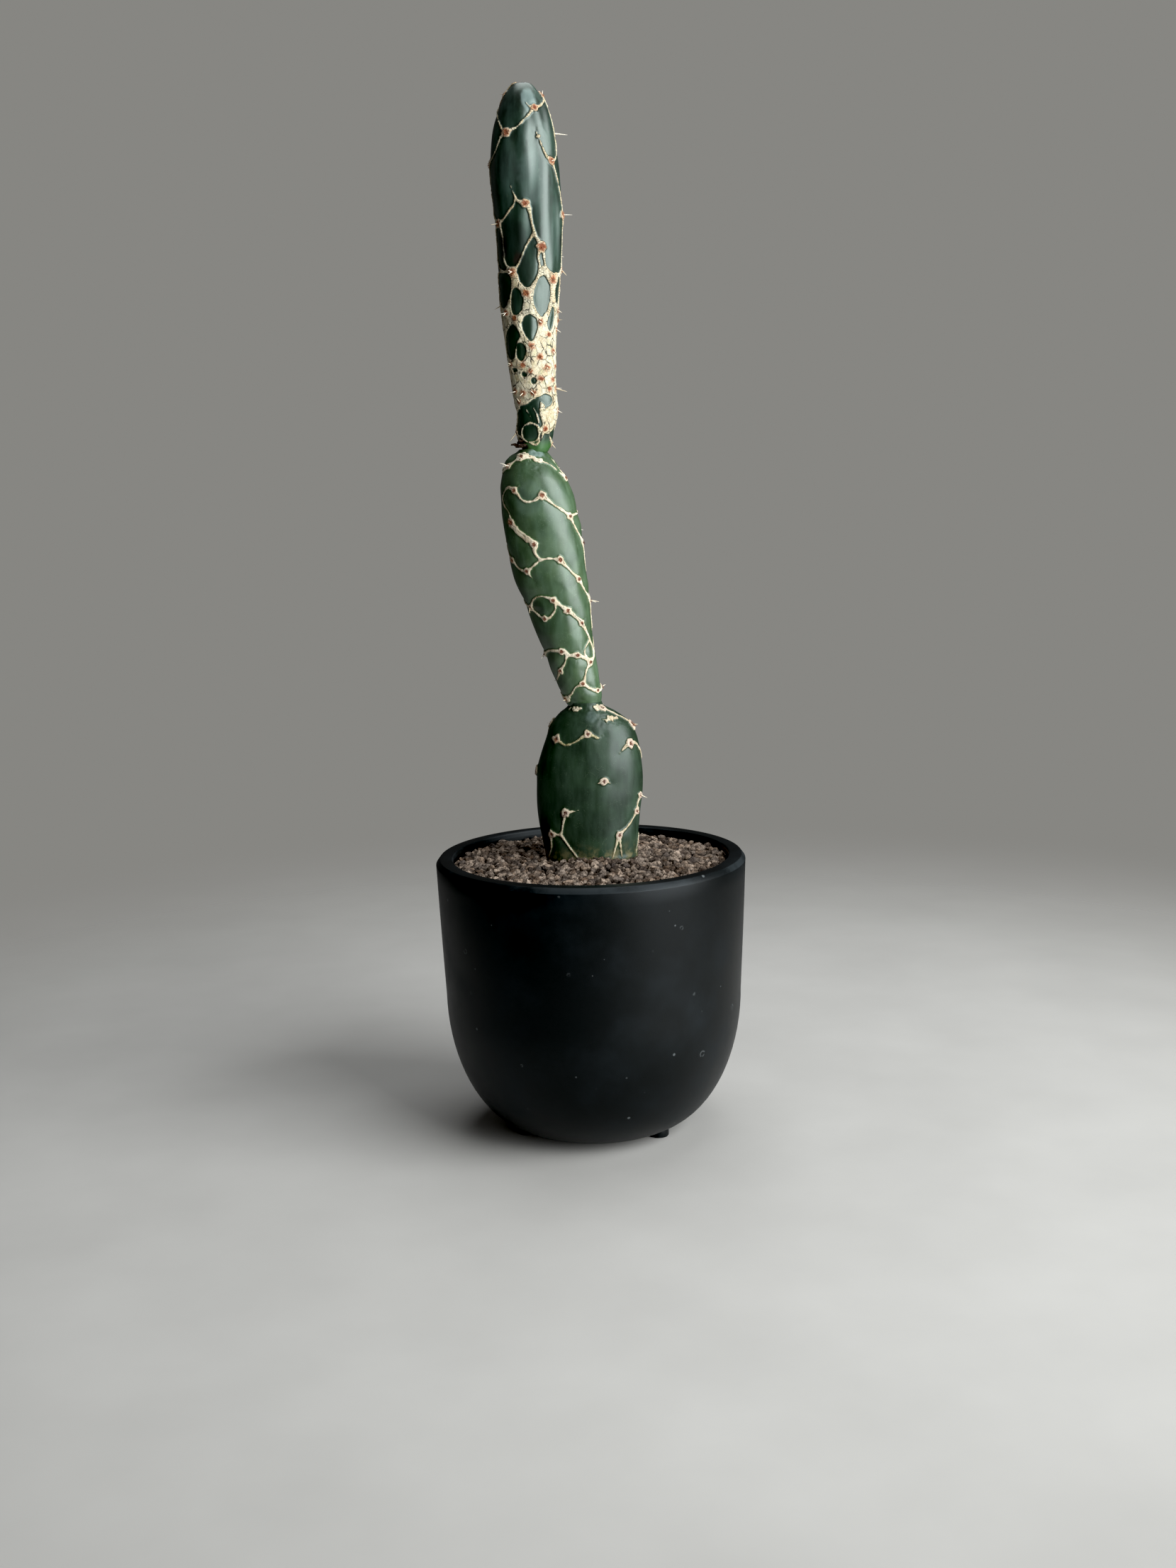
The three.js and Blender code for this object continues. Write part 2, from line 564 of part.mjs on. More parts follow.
// A rounded belly: radius and height on the curve, from its widest point down to its flat
function belly(widest, curve, floor, part) {
  const turn = (part * Math.PI) / 2;
  return new THREE.Vector2(
    widest - curve + curve * Math.cos(turn), BELLY_HEIGHT - (BELLY_HEIGHT - floor) * Math.sin(turn));
}

function turned(profile) {
  return new THREE.LatheGeometry(profile, ROUND_STEPS).rotateX(Math.PI / 2);
}

function potGeometry() {
  const outer = [1, 0.86, 0.72, 0.58, 0.44, 0.28, 0].map((part) => (
    belly(BELLY_RADIUS, BELLY_CURVE, UNDERSIDE, part)));
  const inner = [0, 0.3, 0.5, 0.7, 0.86, 1].map((part) => (
    belly(BELLY_INNER, BELLY_INNER_CURVE, POT_FLOOR, part)));
  const profile = [
    new THREE.Vector2(DRAIN_RADIUS, UNDERSIDE),
    ...outer,
    new THREE.Vector2(RIM_RADIUS - 0.9, 84),
    new THREE.Vector2(RIM_RADIUS, POT_HEIGHT - RIM_BEVEL[1]),
    new THREE.Vector2(RIM_RADIUS - RIM_BEVEL[0], POT_HEIGHT),
    new THREE.Vector2(RIM_INNER + LIP_BREAK, POT_HEIGHT),
    new THREE.Vector2(RIM_INNER, POT_HEIGHT - LIP_BREAK),
    ...inner,
    new THREE.Vector2(DRAIN_RADIUS, POT_FLOOR),
    new THREE.Vector2(DRAIN_RADIUS, UNDERSIDE),
  ];
  let pot = solidOf(turned(profile));
  for (const degrees of FOOT_ANGLES) {
    const foot = new THREE.CylinderGeometry(FOOT_RADIUS, FOOT_RADIUS, FOOT_HEIGHT, 16);
    foot.rotateX(Math.PI / 2);
    foot.translate(
      FOOT_RING * Math.cos(radians(degrees)), FOOT_RING * Math.sin(radians(degrees)), FOOT_HEIGHT / 2);
    pot = pot.add(solidOf(foot));
  }
  return geometryFrom(pot);
}

function gritGeometry() {
  const random = seeded(31);
  const stem = skinOf(LOWER_PAD);
  const [footHeight] = LOWER_PAD.stations[0];
  const edge = RIM_INNER - GAP - (RIM_INNER - BELLY_INNER) * ((POT_HEIGHT - GRIT_EDGE) / (POT_HEIGHT - BELLY_HEIGHT));
  const level = (x, y) => GRIT_EDGE + GRIT_DOME * (1 - (x * x + y * y) / (edge * edge));
  const hole = (z, n) => {
    const a = (n * 2 * Math.PI) / STEM_HOLE_STEPS;
    const [u] = stem.placeOf([z, 0]);
    return stem.at(u, a).addScaledVector(new THREE.Vector3(Math.sin(a), -Math.cos(a), 0), GAP * 1.3).setZ(z);
  };
  const points = [];
  for (let n = 0; n < ROUND_STEPS; n += 1) {
    const a = (n * 2 * Math.PI) / ROUND_STEPS;
    points.push(new THREE.Vector3(edge * Math.sin(a), -edge * Math.cos(a), GRIT_EDGE));
  }
  const mouth = points.length;
  const mouthHeight = GRIT_EDGE + GRIT_DOME;
  for (let n = 0; n < STEM_HOLE_STEPS; n += 1) points.push(hole(mouthHeight, n));
  const inStem = (x, y, room) => {
    const p = hole(mouthHeight, 0);
    const [, left, right, depth] = smooth(LOWER_PAD.stations, stem.placeOf([p.z, 0])[0]);
    const [reach, deep] = [(right - left) / 2 + GAP + room, depth + GAP + room];
    return Math.hypot((x - (left + right) / 2) / reach, (y - PLANT_Y) / deep) < 1;
  };

  // Every third point of a triangle grid is the top of a grain, and those round it are the cracks
  const pitch = GRAIN / Math.sqrt(3);
  const reach = Math.ceil(edge / pitch) + 2;
  for (let row = -reach; row <= reach; row += 1) {
    for (let column = -reach; column <= reach; column += 1) {
      const isTop = (((row - column) % 3) + 3) % 3 === 0;
      const x = pitch * (column + row / 2) + GRAIN_SHIFT * (random() - 0.5) * 2;
      const y = pitch * row * Math.sqrt(0.75) + GRAIN_SHIFT * (random() - 0.5) * 2;
      const rise = isTop ? lerp(...GRAIN_RISE, random()) : -CRACK_DEPTH * random();
      if (Math.hypot(x, y) > edge - 1.8 || inStem(x, y, 1.4)) continue;
      points.push(new THREE.Vector3(x, y, level(x, y) + rise));
    }
  }
  const sheet = triangulate(points.map(({ x, y }) => [x, y]));
  const inMouth = (n) => n >= mouth && n < mouth + STEM_HOLE_STEPS;
  const triangles = sheet.filter((triangle) => !triangle.every(inMouth));

  // The side follows the pot's inner wall, and the hole the pad's buried foot
  const skirt = (ringStart, count, nextRing, last) => {
    let from = ringStart;
    for (const ring of nextRing) {
      const to = points.length;
      points.push(...ring);
      for (let n = 0; n < count; n += 1) {
        const next = (n + 1) % count;
        triangles.push([from + n, to + n, to + next], [from + n, to + next, from + next]);
      }
      from = to;
    }
    points.push(last);
    for (let n = 0; n < count; n += 1) triangles.push([from + n, points.length - 1, from + ((n + 1) % count)]);
  };
  const wall = [0, 0.3, 0.5, 0.7, 0.86, 1].map((part) => {
    const { x, y } = belly(BELLY_INNER - GAP, BELLY_INNER_CURVE, POT_FLOOR + GAP, part);
    return Array.from({ length: ROUND_STEPS }, (_, n) => {
      const a = (n * 2 * Math.PI) / ROUND_STEPS;
      return new THREE.Vector3(x * Math.sin(a), -x * Math.cos(a), y);
    });
  });
  skirt(0, ROUND_STEPS, wall, new THREE.Vector3(0, 0, POT_FLOOR + GAP));
  const bottom = footHeight - GAP;
  const shaft = [92, bottom].map((z) => (
    Array.from({ length: STEM_HOLE_STEPS }, (_, n) => hole(Math.max(z, footHeight), n).setZ(z))));
  const flipFrom = triangles.length;
  const [, left, right] = LOWER_PAD.stations[0];
  skirt(mouth, STEM_HOLE_STEPS, shaft, new THREE.Vector3((left + right) / 2, PLANT_Y, bottom));
  for (const triangle of triangles.slice(flipFrom)) triangle.reverse();
  return geometryOf(points, triangles);
}

const finishes = {
  skin: new THREE.MeshStandardMaterial({ color: '#2f4d3a', roughness: 0.5, metalness: 0 }),
  paleSkin: new THREE.MeshStandardMaterial({ color: '#4a6b48', roughness: 0.5, metalness: 0 }),
  blueSkin: new THREE.MeshStandardMaterial({ color: '#2c4a44', roughness: 0.48, metalness: 0 }),
  grit: new THREE.MeshStandardMaterial({ color: '#80706a', roughness: 0.95, metalness: 0 }),
  pot: new THREE.MeshStandardMaterial({ color: '#15181b', roughness: 0.55, metalness: 0 }),
};

const plant = new THREE.Group();
const pieces = [
  ['pot', potGeometry(), finishes.pot],
  ['grit', gritGeometry(), finishes.grit],
  ['lower_pad', padGeometry(LOWER_PAD, 11), finishes.skin],
  ['middle_pad', padGeometry(MIDDLE_PAD, 12), finishes.paleSkin],
  ['upper_pad', padGeometry(UPPER_PAD, 13), finishes.blueSkin],
];
for (const [name, geometry, finish] of pieces) {
  const mesh = new THREE.Mesh(geometry, finish);
  mesh.name = name;
  plant.add(mesh);
}

export default plant;
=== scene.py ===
# %% [markdown]
# This lesson dresses a potted prickly pear: three pads, one on the other, stand in grit in a black
# pot. The packed model of the same plant gives each piece its real size and place, so it is loaded
# first and never changed. Everything that is made here stands over one of its nodes.

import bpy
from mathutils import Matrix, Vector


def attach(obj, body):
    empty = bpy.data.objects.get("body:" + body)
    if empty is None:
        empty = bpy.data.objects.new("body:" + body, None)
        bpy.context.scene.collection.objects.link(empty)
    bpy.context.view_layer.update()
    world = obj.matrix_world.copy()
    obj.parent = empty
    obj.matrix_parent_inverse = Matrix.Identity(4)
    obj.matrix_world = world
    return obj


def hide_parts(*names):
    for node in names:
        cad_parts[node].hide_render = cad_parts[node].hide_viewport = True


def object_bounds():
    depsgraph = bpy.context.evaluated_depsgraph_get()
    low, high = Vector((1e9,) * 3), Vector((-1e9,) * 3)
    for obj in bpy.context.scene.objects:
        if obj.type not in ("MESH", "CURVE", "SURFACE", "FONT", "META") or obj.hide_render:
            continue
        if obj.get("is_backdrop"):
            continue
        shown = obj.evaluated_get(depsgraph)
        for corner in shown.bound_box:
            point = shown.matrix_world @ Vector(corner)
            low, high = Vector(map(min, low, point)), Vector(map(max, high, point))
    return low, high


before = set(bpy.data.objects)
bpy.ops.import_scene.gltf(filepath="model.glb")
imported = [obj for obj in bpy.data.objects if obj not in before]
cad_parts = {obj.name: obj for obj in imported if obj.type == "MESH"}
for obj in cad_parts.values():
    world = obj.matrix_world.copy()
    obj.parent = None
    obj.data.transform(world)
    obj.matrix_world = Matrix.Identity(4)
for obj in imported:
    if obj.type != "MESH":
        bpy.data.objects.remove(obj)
cad_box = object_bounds()
print("nodes in the frame:", sorted(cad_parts))

# %% Tools and units
import math
import random
from collections import defaultdict
from types import SimpleNamespace

import bpy
import numpy as np
from mathutils import Matrix, Vector, noise

MM = 0.001


def use_only(*pieces):
    """Selects these objects alone, with the first one active, so that an operator acts on them."""
    bpy.ops.object.select_all(action="DESELECT")
    for piece in pieces:
        piece.select_set(True)
    bpy.context.view_layer.objects.active = pieces[0]


bpy.ops.object.select_all(action="DESELECT")
print("one millimetre is", MM, "of Blender's units")

# %% [markdown]
# The photograph was taken from a little above the soil, tilted down by ten degrees and turned by
# just over one. A camera could be moved by eye until the view fits. Here its lens comes from the
# picture's height and a focal length in pixels, so the view stays the same if the size changes.

# %% Camera
PHOTO_SIZE = (1659, 2212)
FOCAL_PIXELS = 2400
SENSOR = 36
EYE = Vector((-0.4, -648.6, 249)) * MM
TILT = math.radians(9.85)
ROLL = math.radians(-1.34)

bpy.ops.object.camera_add()
camera = bpy.context.object
camera.name = "camera"
camera.data.sensor_width = SENSOR
camera.data.lens = SENSOR * FOCAL_PIXELS / max(PHOTO_SIZE)
camera.matrix_world = (Matrix.Translation(EYE) @ Matrix.Rotation(math.pi / 2 - TILT, 4, "X")
                       @ Matrix.Rotation(ROLL, 4, "Z"))
bpy.context.scene.camera = camera
print("lens of", round(camera.data.lens, 2), "mm")

# %% [markdown]
# Every finish below is a small tree of nodes. Nodes can be added one by one and linked by hand,
# but a sum such as 1 - mask * 0.5 reads better as Python. So one class holds a socket, its
# operators add Math nodes, and one method adds any other node.

# %% Shader maths in Python
class Wire:
    """A value on its way through a tree of nodes."""

    def __init__(self, tree, socket=None):
        self.tree, self.socket = tree, socket

    def node(self, kind, sockets, output=0, **settings):
        """Adds a node: its settings are set first, then the values or links of its sockets."""
        made = self.tree.nodes.new("ShaderNode" + kind)
        for name, value in settings.items():
            setattr(made, name, value)
        for name, value in sockets.items():
            if isinstance(value, Wire):
                self.tree.links.new(value.socket, made.inputs[name])
            else:
                made.inputs[name].default_value = value
        return Wire(self.tree, made.outputs[output])

    def to_output(self, name):
        """Ends the tree: this becomes the surface of the material or of the world."""
        self.tree.links.new(self.socket, self.tree.nodes[name + " Output"].inputs["Surface"])

    def maths(self, operation, *values):
        return self.node("Math", dict(enumerate(values)), operation=operation)

    def __add__(self, other):
        return self.maths("ADD", self, other)

    def __sub__(self, other):
        return self.maths("SUBTRACT", self, other)

    def __rsub__(self, other):
        return self.maths("SUBTRACT", other, self)

    def __mul__(self, other):
        return self.maths("MULTIPLY", self, other)

    def __truediv__(self, other):
        return self.maths("DIVIDE", self, other)

    __radd__ = __add__
    __rmul__ = __mul__


print("reflected forms:", [name for name in vars(Wire) if name.startswith("__r")])

# %% Colours and soft steps
def colour(code):
    """The colour that a web code such as 2f4d3a names, as Blender's own linear numbers."""
    parts = [int(code[n:n + 2], 16) / 255 for n in (0, 2, 4)]
    return [p / 12.92 if p < 0.04 else ((p + 0.055) / 1.055) ** 2.4 for p in parts] + [1]


def mix(under, over, share):
    """One colour over another by a share that varies over the surface. Either may be a code."""
    under, over = [colour(c) if isinstance(c, str) else c for c in (under, over)]
    return share.node("Mix", {0: share, 6: under, 7: over}, 2, data_type="RGBA")


def ease(value, low, high):
    """0 below low, 1 above high, and a soft step between."""
    return value.node("MapRange", {"Value": value, "From Min": low, "From Max": high},
                      interpolation_type="SMOOTHSTEP")


print("sample of the grey-green of a pad:", [round(part, 3) for part in colour("2f4d3a")])

# %% Patterns in millimetres
def grains(where, size, detail=2, rough=0.5):
    """Cloudy noise whose lumps are about that many millimetres across."""
    return where.node("TexNoise", {"Vector": where, "Scale": 1 / (size * MM), "Detail": detail,
                                   "Roughness": rough})


def cells(where, size, output="Distance", feature="F1"):
    """Scattered cells about that many millimetres across."""
    return where.node("TexVoronoi", {"Vector": where, "Scale": 1 / (size * MM)}, output,
                      feature=feature)


def shaken(where, size, far):
    """The place, moved about by noise so that straight things come out uneven."""
    cloud = where.node("TexNoise", {"Vector": where, "Scale": 1 / (size * MM), "Detail": 2}, 1)
    centred = cloud.node("VectorMath", {0: cloud, 1: (-0.5, -0.5, -0.5)}, operation="ADD")
    step = centred.node("VectorMath", {0: centred, "Scale": far * MM}, operation="SCALE")
    return step.node("VectorMath", {0: where, 1: step}, operation="ADD")


def stretched(where, upwards):
    """The place, with its height scaled, so that a pattern comes out longer or shorter."""
    return where.node("Mapping", {"Vector": where, "Scale": (1, 1, upwards)})


def height_of(where):
    return where.node("SeparateXYZ", {0: where}, 2)


def channel(drawn, number):
    """One of the three numbers in the colour that each cell draws."""
    return drawn.node("SeparateColor", {0: drawn}, number)


# %% Finishes
def new_finish(name):
    """A material, a wire to start its maths from, and the place on the object."""
    made = bpy.data.materials.new(name)
    made.use_nodes = True
    start = Wire(made.node_tree)
    return made, start, start.node("TexCoord", {}, "Object")


def attribute(start, name):
    """A number that the mesh carries at each of its points."""
    return start.node("Attribute", {}, "Fac", attribute_name=name)


def put_on(made, **inputs):
    """Links or sets the shader's own sockets; height, a wire in millimetres, goes through a bump."""
    shader = made.node_tree.nodes["Principled BSDF"]
    height = inputs.pop("height", None)
    if height:
        inputs["Normal"] = height.node("Bump", {"Height": height, "Distance": MM}, "Normal")
    for name, value in inputs.items():
        socket = shader.inputs[name.replace("_", " ")]
        if isinstance(value, Wire):
            made.node_tree.links.new(value.socket, socket)
        else:
            socket.default_value = value
    return made


# %% [markdown]
# One tall soft window stands to the right and a little in front, and leaves the left side dark.
# A sun lamp would draw hard edges, and a ring of lamps would flatten the pads, so there is one
# large area lamp, a weak wide one above, and a grey world that fills the shadows.

# %% Light
WALL_SEEN = (0.247, 0.244, 0.229, 1)
WALL_FELT = (0.05, 0.049, 0.047, 1)
BLACK = 0.0075


def soft_lamp(name, place, aim, size, power, colour):
    """A rectangular lamp at a place, in metres, that looks at a point."""
    bpy.ops.object.light_add(type="AREA", location=place)
    lamp = bpy.context.object
    lamp.name = name
    lamp.rotation_euler = (Vector(aim) - Vector(place)).to_track_quat("-Z", "Y").to_euler()
    lamp.data.shape = "RECTANGLE"
    lamp.data.size, lamp.data.size_y = size
    lamp.data.energy = power
    lamp.data.color = colour


soft_lamp("window", (0.78, -0.55, 0.5), (0, 0, 0.22), (0.95, 1.1), 23, (0.98, 1, 1))
soft_lamp("top", (0.1, 0.25, 1.2), (0, 0, 0.1), (0.8, 0.8), 5.5, (0.97, 0.99, 1))

world = bpy.data.worlds.new("grey room")
world.use_nodes = True
backdrop = world.node_tree.nodes["Background"]
backdrop.inputs["Color"].default_value = WALL_SEEN
seen = Wire(world.node_tree, backdrop.outputs[0])
felt = seen.node("Background", {"Color": WALL_FELT})
to_camera = seen.node("LightPath", {}, "Is Camera Ray")
seen.node("MixShader", {0: to_camera, 1: felt, 2: seen}).to_output("World")
bpy.context.scene.world = world
view = bpy.context.scene.view_settings
view.view_transform = "Standard"
view.use_curve_mapping = True
view.curve_mapping.black_level = [BLACK] * 3
view.curve_mapping.update()

# %% [markdown]
# The plant stands on a plain pale floor. A plane with an edge or a horizon would draw a line
# behind the pot, so the floor is large and fades into the grey of the room a little way off.

# %% Floor
FLOOR_SIZE = 4
FADES_FROM, GONE_AT = 0.2, 0.62

bpy.ops.mesh.primitive_plane_add(size=FLOOR_SIZE)
floor = bpy.context.object
floor.name = "floor"
pale, start, where = new_finish("pale plaster")
far_off = where.node("VectorMath", {0: where}, "Value", operation="LENGTH")
put_on(pale, Base_Color=mix("b9b8b5", "cbcac7", grains(where, 60, 4)), Roughness=0.9)
clear = start.node("BsdfTransparent", {})
plaster = Wire(pale.node_tree, pale.node_tree.nodes["Principled BSDF"].outputs[0])
faded = start.node("MixShader", {0: ease(far_off, FADES_FROM, GONE_AT), 1: plaster, 2: clear})
faded.to_output("Material")
floor.data.materials.append(pale)
floor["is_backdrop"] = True
print("floor of", FLOOR_SIZE, "m")

# %% [markdown]
# A turned form, such as the pot, and a pad, which is oval and leans, are drawn the same way by
# hand: a circle is extruded upwards ring by ring, and each ring is scaled to its width and depth.
# A spun profile would do for the pot alone. So one function does both.

# %% Forms drawn up ring by ring
def draw_up(name, rings, sides):
    """A closed form through rings of (x, y, z, half width, half depth) in millimetres.
    Open ends are filled, and a last ring that lies on the first one is merged with it."""
    x, y, z, wide, deep = rings[0]
    bpy.ops.object.select_all(action="DESELECT")
    bpy.ops.mesh.primitive_circle_add(vertices=sides, radius=MM)
    piece = bpy.context.object
    piece.name = piece.data.name = name
    bpy.ops.object.mode_set(mode="EDIT")
    bpy.ops.mesh.select_all(action="SELECT")
    bpy.ops.transform.translate(value=Vector((x, y, z)) * MM)
    bpy.ops.transform.resize(value=(wide, deep, 1), center_override=Vector((x, y, z)) * MM)
    for (x0, y0, z0, wide0, deep0), (x, y, z, wide, deep) in zip(rings, rings[1:]):
        step = Vector((x - x0, y - y0, z - z0)) * MM
        bpy.ops.mesh.extrude_region_move(TRANSFORM_OT_translate={"value": step})
        bpy.ops.transform.resize(value=(wide / wide0, deep / deep0, 1),
                                 center_override=Vector((x, y, z)) * MM)
    bpy.ops.mesh.select_all(action="SELECT")
    bpy.ops.mesh.remove_doubles(threshold=0.001 * MM)
    bpy.ops.mesh.select_all(action="DESELECT")
    bpy.ops.mesh.select_non_manifold()
    bpy.ops.mesh.fill_holes(sides=0)
    bpy.ops.mesh.select_all(action="SELECT")
    bpy.ops.mesh.normals_make_consistent(inside=False)
    bpy.ops.object.mode_set(mode="OBJECT")
    return piece


# %% Modifiers, joins and smoothing
def finish_with(piece, kind, **settings):
    """Adds a modifier, sets it and applies it."""
    use_only(piece)
    modifier = piece.modifiers.new(kind.title(), kind)
    for name, value in settings.items():
        setattr(modifier, name, value)
    bpy.ops.object.modifier_apply(modifier=modifier.name)


def join(pieces, name):
    """Joins objects into the first of them."""
    use_only(*pieces)
    bpy.ops.object.join()
    pieces[0].name = pieces[0].data.name = name
    return pieces[0]


def smooth(piece, degrees=None):
    """Shades a piece smooth, all over or up to an angle between its faces."""
    use_only(piece)
    if degrees:
        bpy.ops.object.shade_smooth_by_angle(angle=math.radians(degrees))
    else:
        bpy.ops.object.shade_smooth()


def stand_for(piece, node):
    """Parents a finished piece to the root body and hides the frame's node whose place it takes."""
    piece.data.update()
    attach(piece, "root")
    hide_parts(node)
    print(piece.name, "has", len(piece.data.polygons), "faces")


# %% [markdown]
# The pot is thick-walled and matt black, moulded in one piece: a round belly on a small flat,
# almost upright walls, a chamfered rim, and three small feet under it. Its curves are quarter
# ovals worked out from a few radii, and a bevel softens the edges that a mould would leave soft.

# %% Curves of the pot
BELLY_HEIGHT = 55.6
BELLY_STEPS = 22


def belly(widest, curve, floor_height):
    """Radius and height along a quarter oval, from the flat up to the widest place."""
    rows = []
    for part in np.linspace(1, 0, BELLY_STEPS):
        turn = part * math.pi / 2
        rows.append([widest - curve + curve * math.cos(turn),
                     BELLY_HEIGHT - (BELLY_HEIGHT - floor_height) * math.sin(turn)])
    return rows


def smooth_rows(rows, places):
    """Reads rows of numbers between their lines, along a smooth curve through all of them."""
    rows = np.asarray(rows, float)
    rows = np.vstack([2 * rows[0] - rows[1], rows, 2 * rows[-1] - rows[-2]])
    places = np.asarray(places, float)
    i = np.clip(np.floor(places).astype(int), 0, len(rows) - 4)
    t = (places - i)[:, None]
    a, b, c, d = rows[i], rows[i + 1], rows[i + 2], rows[i + 3]
    turn = t * (2 * a - 5 * b + 4 * c - d + t * (3 * b - a - 3 * c + d))
    return b + 0.5 * t * (c - a + turn)


print("rows of a belly:", BELLY_STEPS)

# %% Pot
RIM_RADIUS = 60.1
RIM_INNER = 53.6
POT_HEIGHT = 109
CHAMFER_WIDE, CHAMFER_HIGH = 1.5, 2
LIP_BREAK = 0.4
SHOULDER = [59.2, 84]
BELLY_RADIUS = 57.9
BELLY_CURVE = 32
BELLY_INNER = 52.2
BELLY_INNER_CURVE = 30
UNDERSIDE = 1.5
POT_FLOOR = 6.5
DRAIN_RADIUS = 7
POT_SIDES = 160
SOFT_EDGE = 0.2
SHARP = math.radians(18)

wall = smooth_rows([[BELLY_RADIUS, BELLY_HEIGHT], SHOULDER, [RIM_RADIUS, POT_HEIGHT - CHAMFER_HIGH]],
                   np.linspace(0, 2, 9)[1:]).tolist()
profile = [[DRAIN_RADIUS, UNDERSIDE], *belly(BELLY_RADIUS, BELLY_CURVE, UNDERSIDE), *wall,
           [RIM_RADIUS - CHAMFER_WIDE, POT_HEIGHT], [RIM_INNER + LIP_BREAK, POT_HEIGHT],
           [RIM_INNER, POT_HEIGHT - LIP_BREAK],
           *belly(BELLY_INNER, BELLY_INNER_CURVE, POT_FLOOR)[::-1],
           [DRAIN_RADIUS, POT_FLOOR], [DRAIN_RADIUS, UNDERSIDE]]
pot = draw_up("black_pot", [(0, 0, high, wide, wide) for wide, high in profile], POT_SIDES)
finish_with(pot, "BEVEL", width=SOFT_EDGE * MM, segments=3, limit_method="ANGLE",
            angle_limit=SHARP, harden_normals=True)
print("rings of the pot:", len(profile))

# %% Feet under the pot
FOOT_RADIUS = 4
FOOT_RING = 30
FOOT_HEIGHT = 3.4
FOOT_ANGLES = [-37, 83, 203]

for degrees in FOOT_ANGLES:
    turn = math.radians(degrees)
    middle = Vector((FOOT_RING * math.cos(turn), FOOT_RING * math.sin(turn), FOOT_HEIGHT / 2))
    bpy.ops.object.select_all(action="DESELECT")
    bpy.ops.mesh.primitive_cylinder_add(vertices=40, radius=FOOT_RADIUS * MM,
                                        depth=FOOT_HEIGHT * MM, location=middle * MM)
    foot = bpy.context.object
    bpy.ops.object.transform_apply()
    finish_with(foot, "BEVEL", width=0.5 * MM, segments=3, limit_method="ANGLE")
    join([pot, foot], "black_pot")
smooth(pot, 35)
stand_for(pot, "pot")

# %% [markdown]
# The grit fills the pot to just under the rim. Its body is hidden, so it is drawn up plainly
# inside the wall, with a low dome for the stones to lie on.

# %% Body of the grit
GAP = 0.35
GRIT_EDGE = 103.6
GRIT_DOME = 1.2
UNDER_STONES = 0.8
GRIT_SIDES = 96

wall_inside = RIM_INNER - GAP - 0.2
body_profile = [*belly(BELLY_INNER - GAP, BELLY_INNER_CURVE, POT_FLOOR + GAP),
                [wall_inside, GRIT_EDGE - UNDER_STONES]]
for part in np.linspace(0, 1, 9):
    high = GRIT_EDGE - UNDER_STONES + GRIT_DOME * part * (2 - part)
    body_profile.append([wall_inside * (1 - part), high])
grit_body = draw_up("grit_body", [(0, 0, z, r, r) for r, z in body_profile], GRIT_SIDES)
smooth(grit_body, 50)
stand_for(grit_body, "grit")

# %% [markdown]
# A stone is a cube that is cut once, pulled towards a ball and shaken, so that it stays lumpy
# with few faces. Nine stones are modelled. Each place in the pot gets its own copy, turned and
# squashed at random, and the draw is seeded, so the same stones come each time.

# %% Nine stones
STONE_SHAKE = 0.36


def shaken_stone(seed, roundness):
    bpy.ops.mesh.primitive_cube_add(size=2 * MM)
    made = bpy.context.object
    bpy.ops.object.mode_set(mode="EDIT")
    bpy.ops.mesh.select_all(action="SELECT")
    bpy.ops.mesh.subdivide(number_cuts=1)
    bpy.ops.transform.tosphere(value=roundness)
    bpy.ops.transform.vertex_random(offset=STONE_SHAKE * MM, seed=seed)
    bpy.ops.object.mode_set(mode="OBJECT")
    return made


bpy.ops.object.select_all(action="DESELECT")
stones = [shaken_stone(seed, 0.55 + 0.04 * seed) for seed in range(9)]
print("faces of a stone:", len(stones[0].data.polygons))

# %% Copies joined into one piece
def carry(piece, name, values):
    """Writes a number on each point of a mesh, for a finish to read."""
    piece.data.attributes.new(name, "FLOAT", "POINT").data.foreach_set("value", values)


def joined_copies(name, models, places, tints):
    """One object from a copy of a model for each place, a matrix; each copy carries its tint."""
    copies = []
    for n, (place, tint) in enumerate(zip(places, tints)):
        copy = bpy.data.objects.new(name, models[n % len(models)].data.copy())
        copy.data.transform(place)
        carry(copy, "tint", [tint] * len(copy.data.vertices))
        bpy.context.collection.objects.link(copy)
        copies.append(copy)
    return join(copies, name)


# %% Where the stones lie
STONE_LAYERS = [
    [1.6, 260, -0.5, 0.6], [1.25, 900, -0.6, 0.7], [1, 1500, -0.7, 0.6], [0.75, 900, -0.6, 0.3],
    [1.5, 200, 0.9, 1.5], [1.2, 560, 0.9, 1.8], [0.9, 500, 0.8, 1.8],
]
TRIES = 14
CLOSEST = 0.78
STEM = [0.75, 2, 17.6, 10.8]
MOUNDS = [[-25, 15, 7.5, 2.4], [0.75, -13, 8, 2.2]]
PATCH = 4

rng = random.Random(31)


def grit_level(x, y):
    """Height of the grit's surface: a low dome and the mounds on it."""
    level = GRIT_EDGE + GRIT_DOME * (1 - (x * x + y * y) / wall_inside ** 2)
    for mx, my, spread, high in MOUNDS:
        level += high * math.exp(-((x - mx) ** 2 + (y - my) ** 2) / (2 * spread * spread))
    return level


def is_free(x, y, r, layer):
    """Whether a stone has room beside the stem and the stones already laid in its layer."""
    cx, cy, wide, deep = STEM
    room = 0.55 * r
    if math.hypot((x - cx) / (wide + room), (y - cy) / (deep + room)) < 1:
        return False
    column, row = round(x / PATCH), round(y / PATCH)
    near = [stone for i in (-1, 0, 1) for j in (-1, 0, 1)
            for stone in laid[column + i, row + j, layer]]
    return all(math.dist((x, y), (a, b)) > CLOSEST * (r + c) for a, b, c in near)


